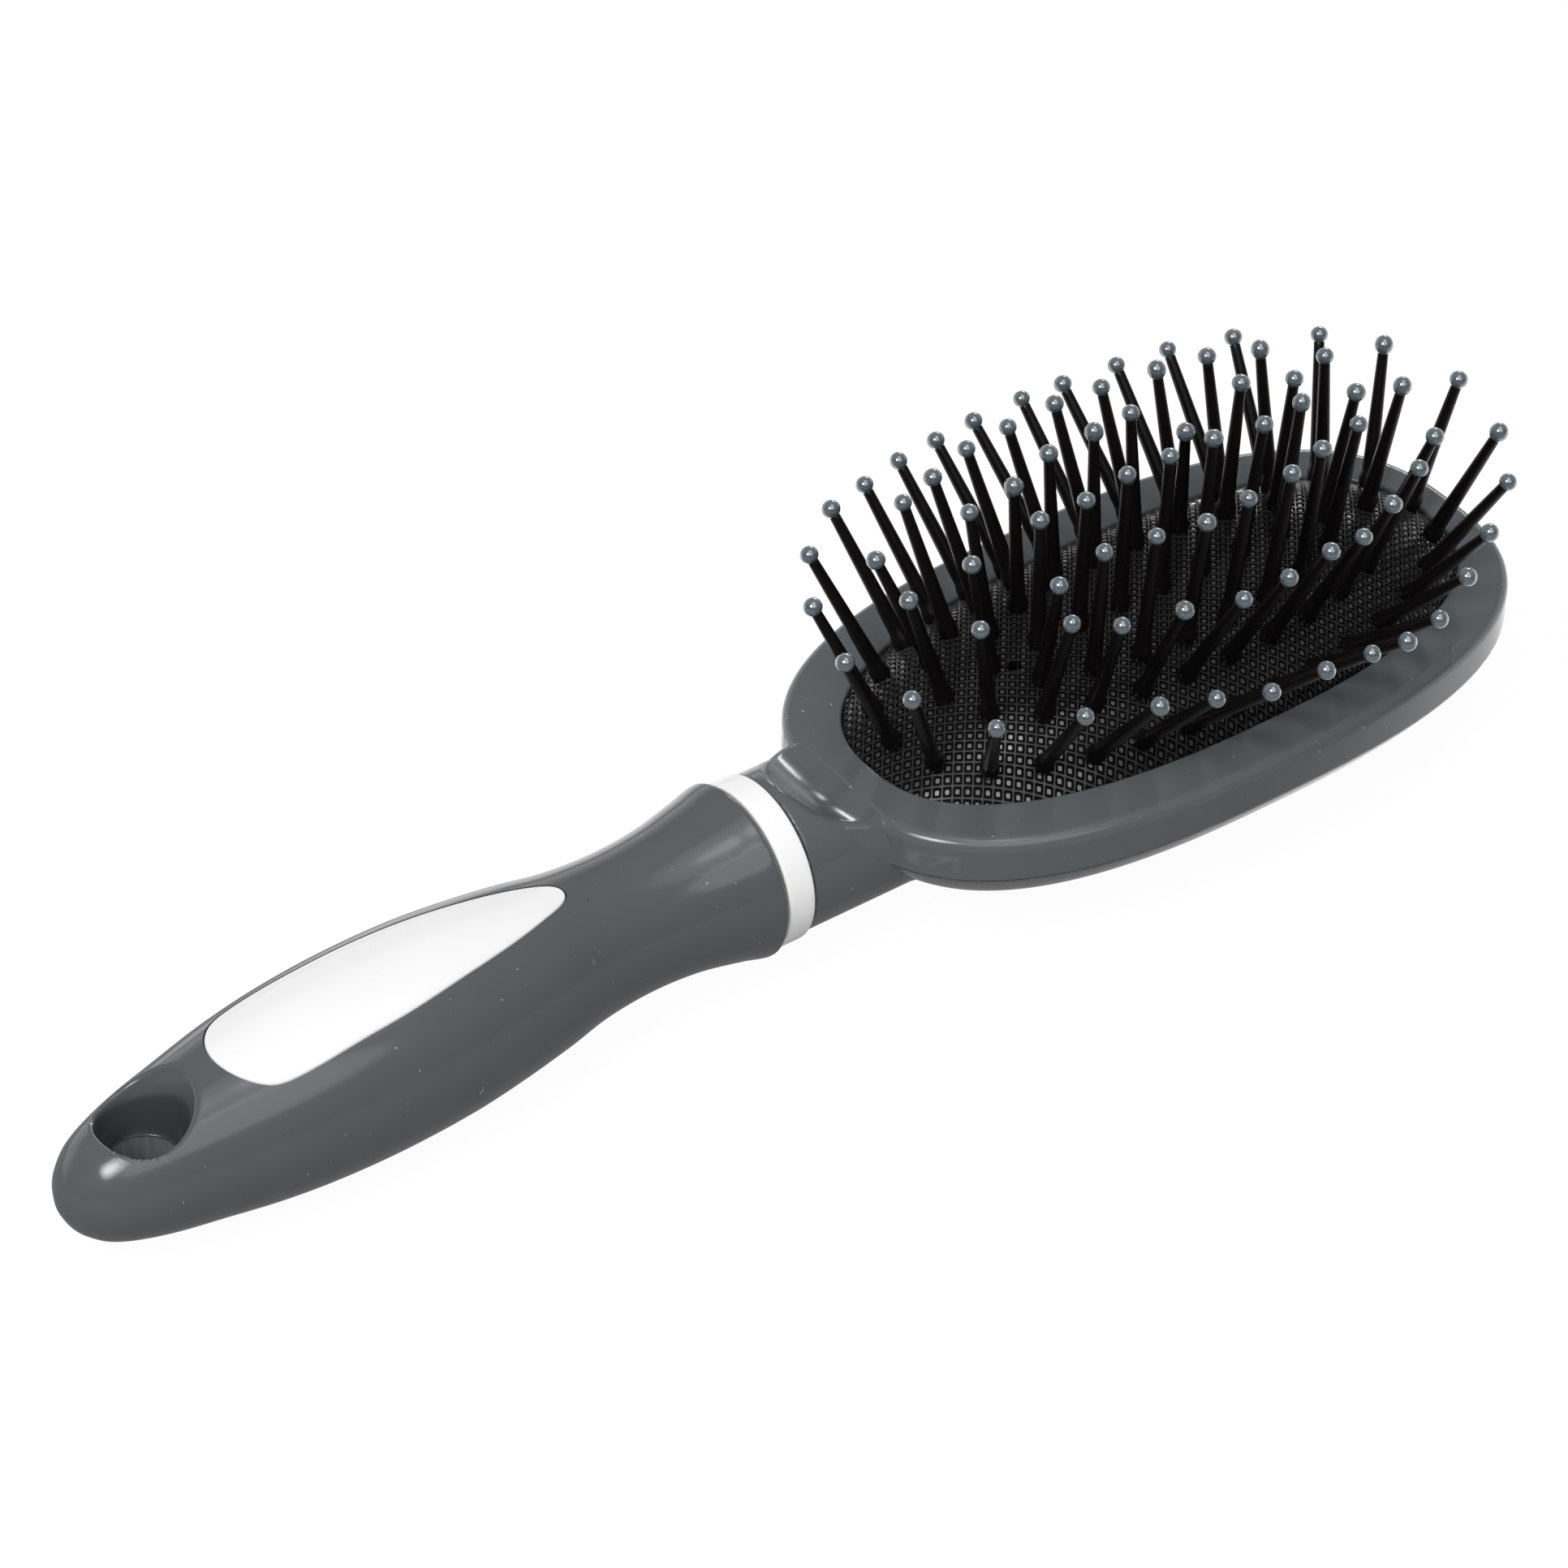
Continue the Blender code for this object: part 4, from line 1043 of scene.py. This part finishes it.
def ball_tree():
    """A dipped ball at the end of each pin, a little flattened and drawn in underneath."""
    sizes = {"Ball radius": BALL_RADIUS, "Height share": 0.95, "Unevenness": 0.05}
    sizes |= {"Longest": 1.16, "Sides": 20, "Rings": 14, "Seed": 7}
    graph, entry = new_tree("pin_balls", sizes)
    ball = graph.node(
        "GeometryNodeMeshUVSphere",
        None,
        {"Segments": entry["Sides"], "Rings": entry["Rings"], "Radius": entry["Ball radius"]},
    )
    x, y, z = graph.split(graph.node("GeometryNodeInputPosition"))
    below = (z / entry["Ball radius"] * -1).most(0)
    inward = 1 - below * below * 0.06
    shaped = graph.joined(x * inward, y * inward, z * entry["Height share"])
    shape = graph.node("GeometryNodeSetPosition", None, {"Geometry": ball, "Position": shaped})

    def uneven(length):
        """A little wider or narrower from ball to ball, and now and then drawn out long."""
        spread, seed = entry["Unevenness"], entry["Seed"]
        any_size = {2: 1 - spread, 3: 1 + spread, 8: seed}
        wide = graph.node("FunctionNodeRandomValue", {"data_type": "FLOAT"}, any_size, out=1)
        luck = {2: 0.0, 3: 1.0, 8: seed + 1}
        chance = graph.node("FunctionNodeRandomValue", {"data_type": "FLOAT"}, luck, out=1)
        return wide, wide * (1 + (entry["Longest"] - 1) * chance.rise(0.80, 1.0))

    return placed(graph, entry, shape, uneven, 1.0)


def grown(name, feet, out, tree, material, body, nodes=()):
    """A piece that a Geometry Nodes tree grows from the pins' feet, as a plain mesh."""
    mesh = bpy.data.meshes.new(name)
    mesh.from_pydata((feet + HEAD).tolist(), [], [])
    mark = mesh.attributes.new("out", "FLOAT_VECTOR", "POINT")
    mark.data.foreach_set("vector", out.ravel())
    made = new_object(name, mesh)
    grow = made.modifiers.new("Grow", "NODES")
    grow.node_group = tree
    sockets = {s.name: s.identifier for s in tree.interface.items_tree if s.in_out == "INPUT"}
    grow[sockets["Finish"]] = material
    bake(made)
    made.data.name = name
    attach(made, body)
    if nodes:
        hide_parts(*nodes)


def pins(shaft_material, ball_material):
    """Every ring of pins, and their balls, each ring on its own body."""
    shafts, balls = shaft_tree(), ball_tree()
    for body, name, share, count, tips in pin_rings:
        roots, tips = pin_roots(share, count), np.array(tips) * 0.001
        along = tips - roots
        along /= np.linalg.norm(along, axis=1)[:, None]
        feet = roots - along * PIN_FOOT
        nodes = [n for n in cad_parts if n.startswith(name)]
        shaft_name, ball_name = name.replace("pins", "shafts"), name.replace("pins", "balls")
        reach = tips - feet
        grown(shaft_name, feet, reach, shafts, shaft_material, body, nodes)
        grown(ball_name, feet, reach, balls, ball_material, body)


def soft_lamp(name, towards, distance, width, height, level):
    """An even lamp in this direction from the brush, whose face is this bright."""
    lamp = bpy.data.lights.new(name, "AREA")
    lamp.shape, lamp.size, lamp.size_y = "ELLIPSE", width, height
    lamp.energy = level * np.pi * np.pi * width * height / 4
    made = new_object(name, lamp)
    away = Vector(towards).normalized()
    made.location = away * distance + Vector((0, 0, BRUSH_MIDDLE))
    made.rotation_euler = away.to_track_quat("Z", "Y").to_euler()


def studio():
    """A floor and a surround that look white, a floor band that glows in reflections, soft lamps,
    and the photograph's camera.
    """
    scene = bpy.context.scene
    scene.view_settings.view_transform = "Standard"
    world = bpy.data.worlds.new("surround")
    scene.world = world
    world.use_nodes = True
    surround = Graph(world.node_tree)
    labels = ("Is Camera Ray", "Is Glossy Ray", "Is Transmission Ray")
    seen = surround.node("ShaderNodeLightPath", None, None, out=labels)
    way = surround.node("ShaderNodeTexCoord", None, None, out=("Generated",))[0]
    x, y, up = surround.split(way)
    behind = (x * 0.6 + y * 0.8).rise(-0.10, 0.50)
    walls = 0.05 + up.rise(0.20, 0.70) * 0.13 + behind * (1.00 - up.rise(0.05, 0.45) * 0.90)
    level = seen[0].most(seen[2]).most(seen[1] * walls).most((1 - seen[1]) * 0.37)
    background = world.node_tree.nodes["Background"]
    surround.feed(background.inputs["Color"], (1, 1, 1, 1))
    surround.feed(background.inputs["Strength"], level)

    floor = bpy.data.meshes.new("floor")
    floor.from_pydata([(-4, -4, 0), (4, -4, 0), (4, 4, 0), (-4, 4, 0)], [], [(0, 1, 2, 3)])
    ground = new_object("floor", floor)
    ground.location.z = -0.0001
    f = Finish("white_floor")
    base = f.colour((0.45, 0.45, 0.45), (0.48, 0.48, 0.48), f.noise(220, 2))
    f.set(Base_Color=base, Roughness=0.85)
    rays = f.node("ShaderNodeLightPath", None, None, out=("Is Camera Ray", "Is Glossy Ray"))
    glow = f.node("ShaderNodeEmission", None, {"Color": (1, 1, 1, 1), "Strength": 1.07})
    # Painted reflection: for glossy rays the floor glows, brighter than white, in a band just
    # behind the brush, and is dim elsewhere
    reflected_glow_band = (f.x * 0.6 + f.y * 0.8).band(0.00, 0.03, 0.08, 0.22)
    bright = f.colour((0.19, 0.19, 0.19), (1, 1, 1), reflected_glow_band)
    painted_reflection_glow = f.node("ShaderNodeEmission", None, {"Color": bright, "Strength": 1.4})
    plain = Value(f, f.shader.outputs[0])
    both = f.node("ShaderNodeMixShader", None, {0: rays[1] * 0.85, 1: plain, 2: painted_reflection_glow})
    both = f.node("ShaderNodeMixShader", None, {0: rays[0] * 0.90, 1: both, 2: glow})
    f.feed(f.tree.nodes["Material Output"].inputs["Surface"], both)
    floor.materials.append(f.material)

    for size, level in ((0.37, 16.4), (0.69, 7.2)):
        soft_lamp("key", (-0.60, -0.25, 0.76), 1.50, size, size, level)
    for size, level in ((0.30, 3.5), (0.50, 1.30), (0.76, 0.92), (1.00, 0.73)):
        soft_lamp("top", (0.02, -0.16, 0.985), 1.30, size, size, level)
    soft_lamp("front", (-0.16, -0.63, 0.76), 1.50, 1.30, 0.90, 1.5)
    soft_lamp("back", (0.70, 0.62, 0.36), 1.60, 0.50, 0.13, 14.0)

    lens = bpy.data.cameras.new("photograph")
    lens.lens, lens.sensor_width, lens.sensor_fit = 147.184, 36, "HORIZONTAL"
    lens.clip_start, lens.clip_end = 0.02, 20
    camera = new_object("photograph", lens)
    across = Vector((0.80650697, -0.59082359, 0.02177162))
    up = Vector((0.36878214, 0.53150813, 0.76256071))
    back = Vector((-0.46211065, -0.60698154, 0.64655020))
    eye = Vector((-14.8855797, -16.86313925, 18.08521896)) * HEAD_HALF_WIDTH
    turned = Matrix((across, up, back)).transposed().to_4x4()
    turned.translation = eye + Vector(HEAD)
    camera.matrix_world = turned
    scene.camera = camera


def hidden_pieces(material):
    """The seat ring under the cushion keeps its CAD shape and gets the pins' nylon."""
    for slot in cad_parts["pad_seat_ring"].material_slots:
        slot.material = material


head_material = head_finish()
nylon_material = nylon()
head(head_material)
opening_lip(head_material)
grip(grip_finish())
collar(white_plastic("white_gloss_collar", 0.92))
insert(white_plastic("white_gloss_insert", 0.85))
cushion(rubber())
pins(nylon_material, ball_lacquer())
hidden_pieces(nylon_material)
studio()
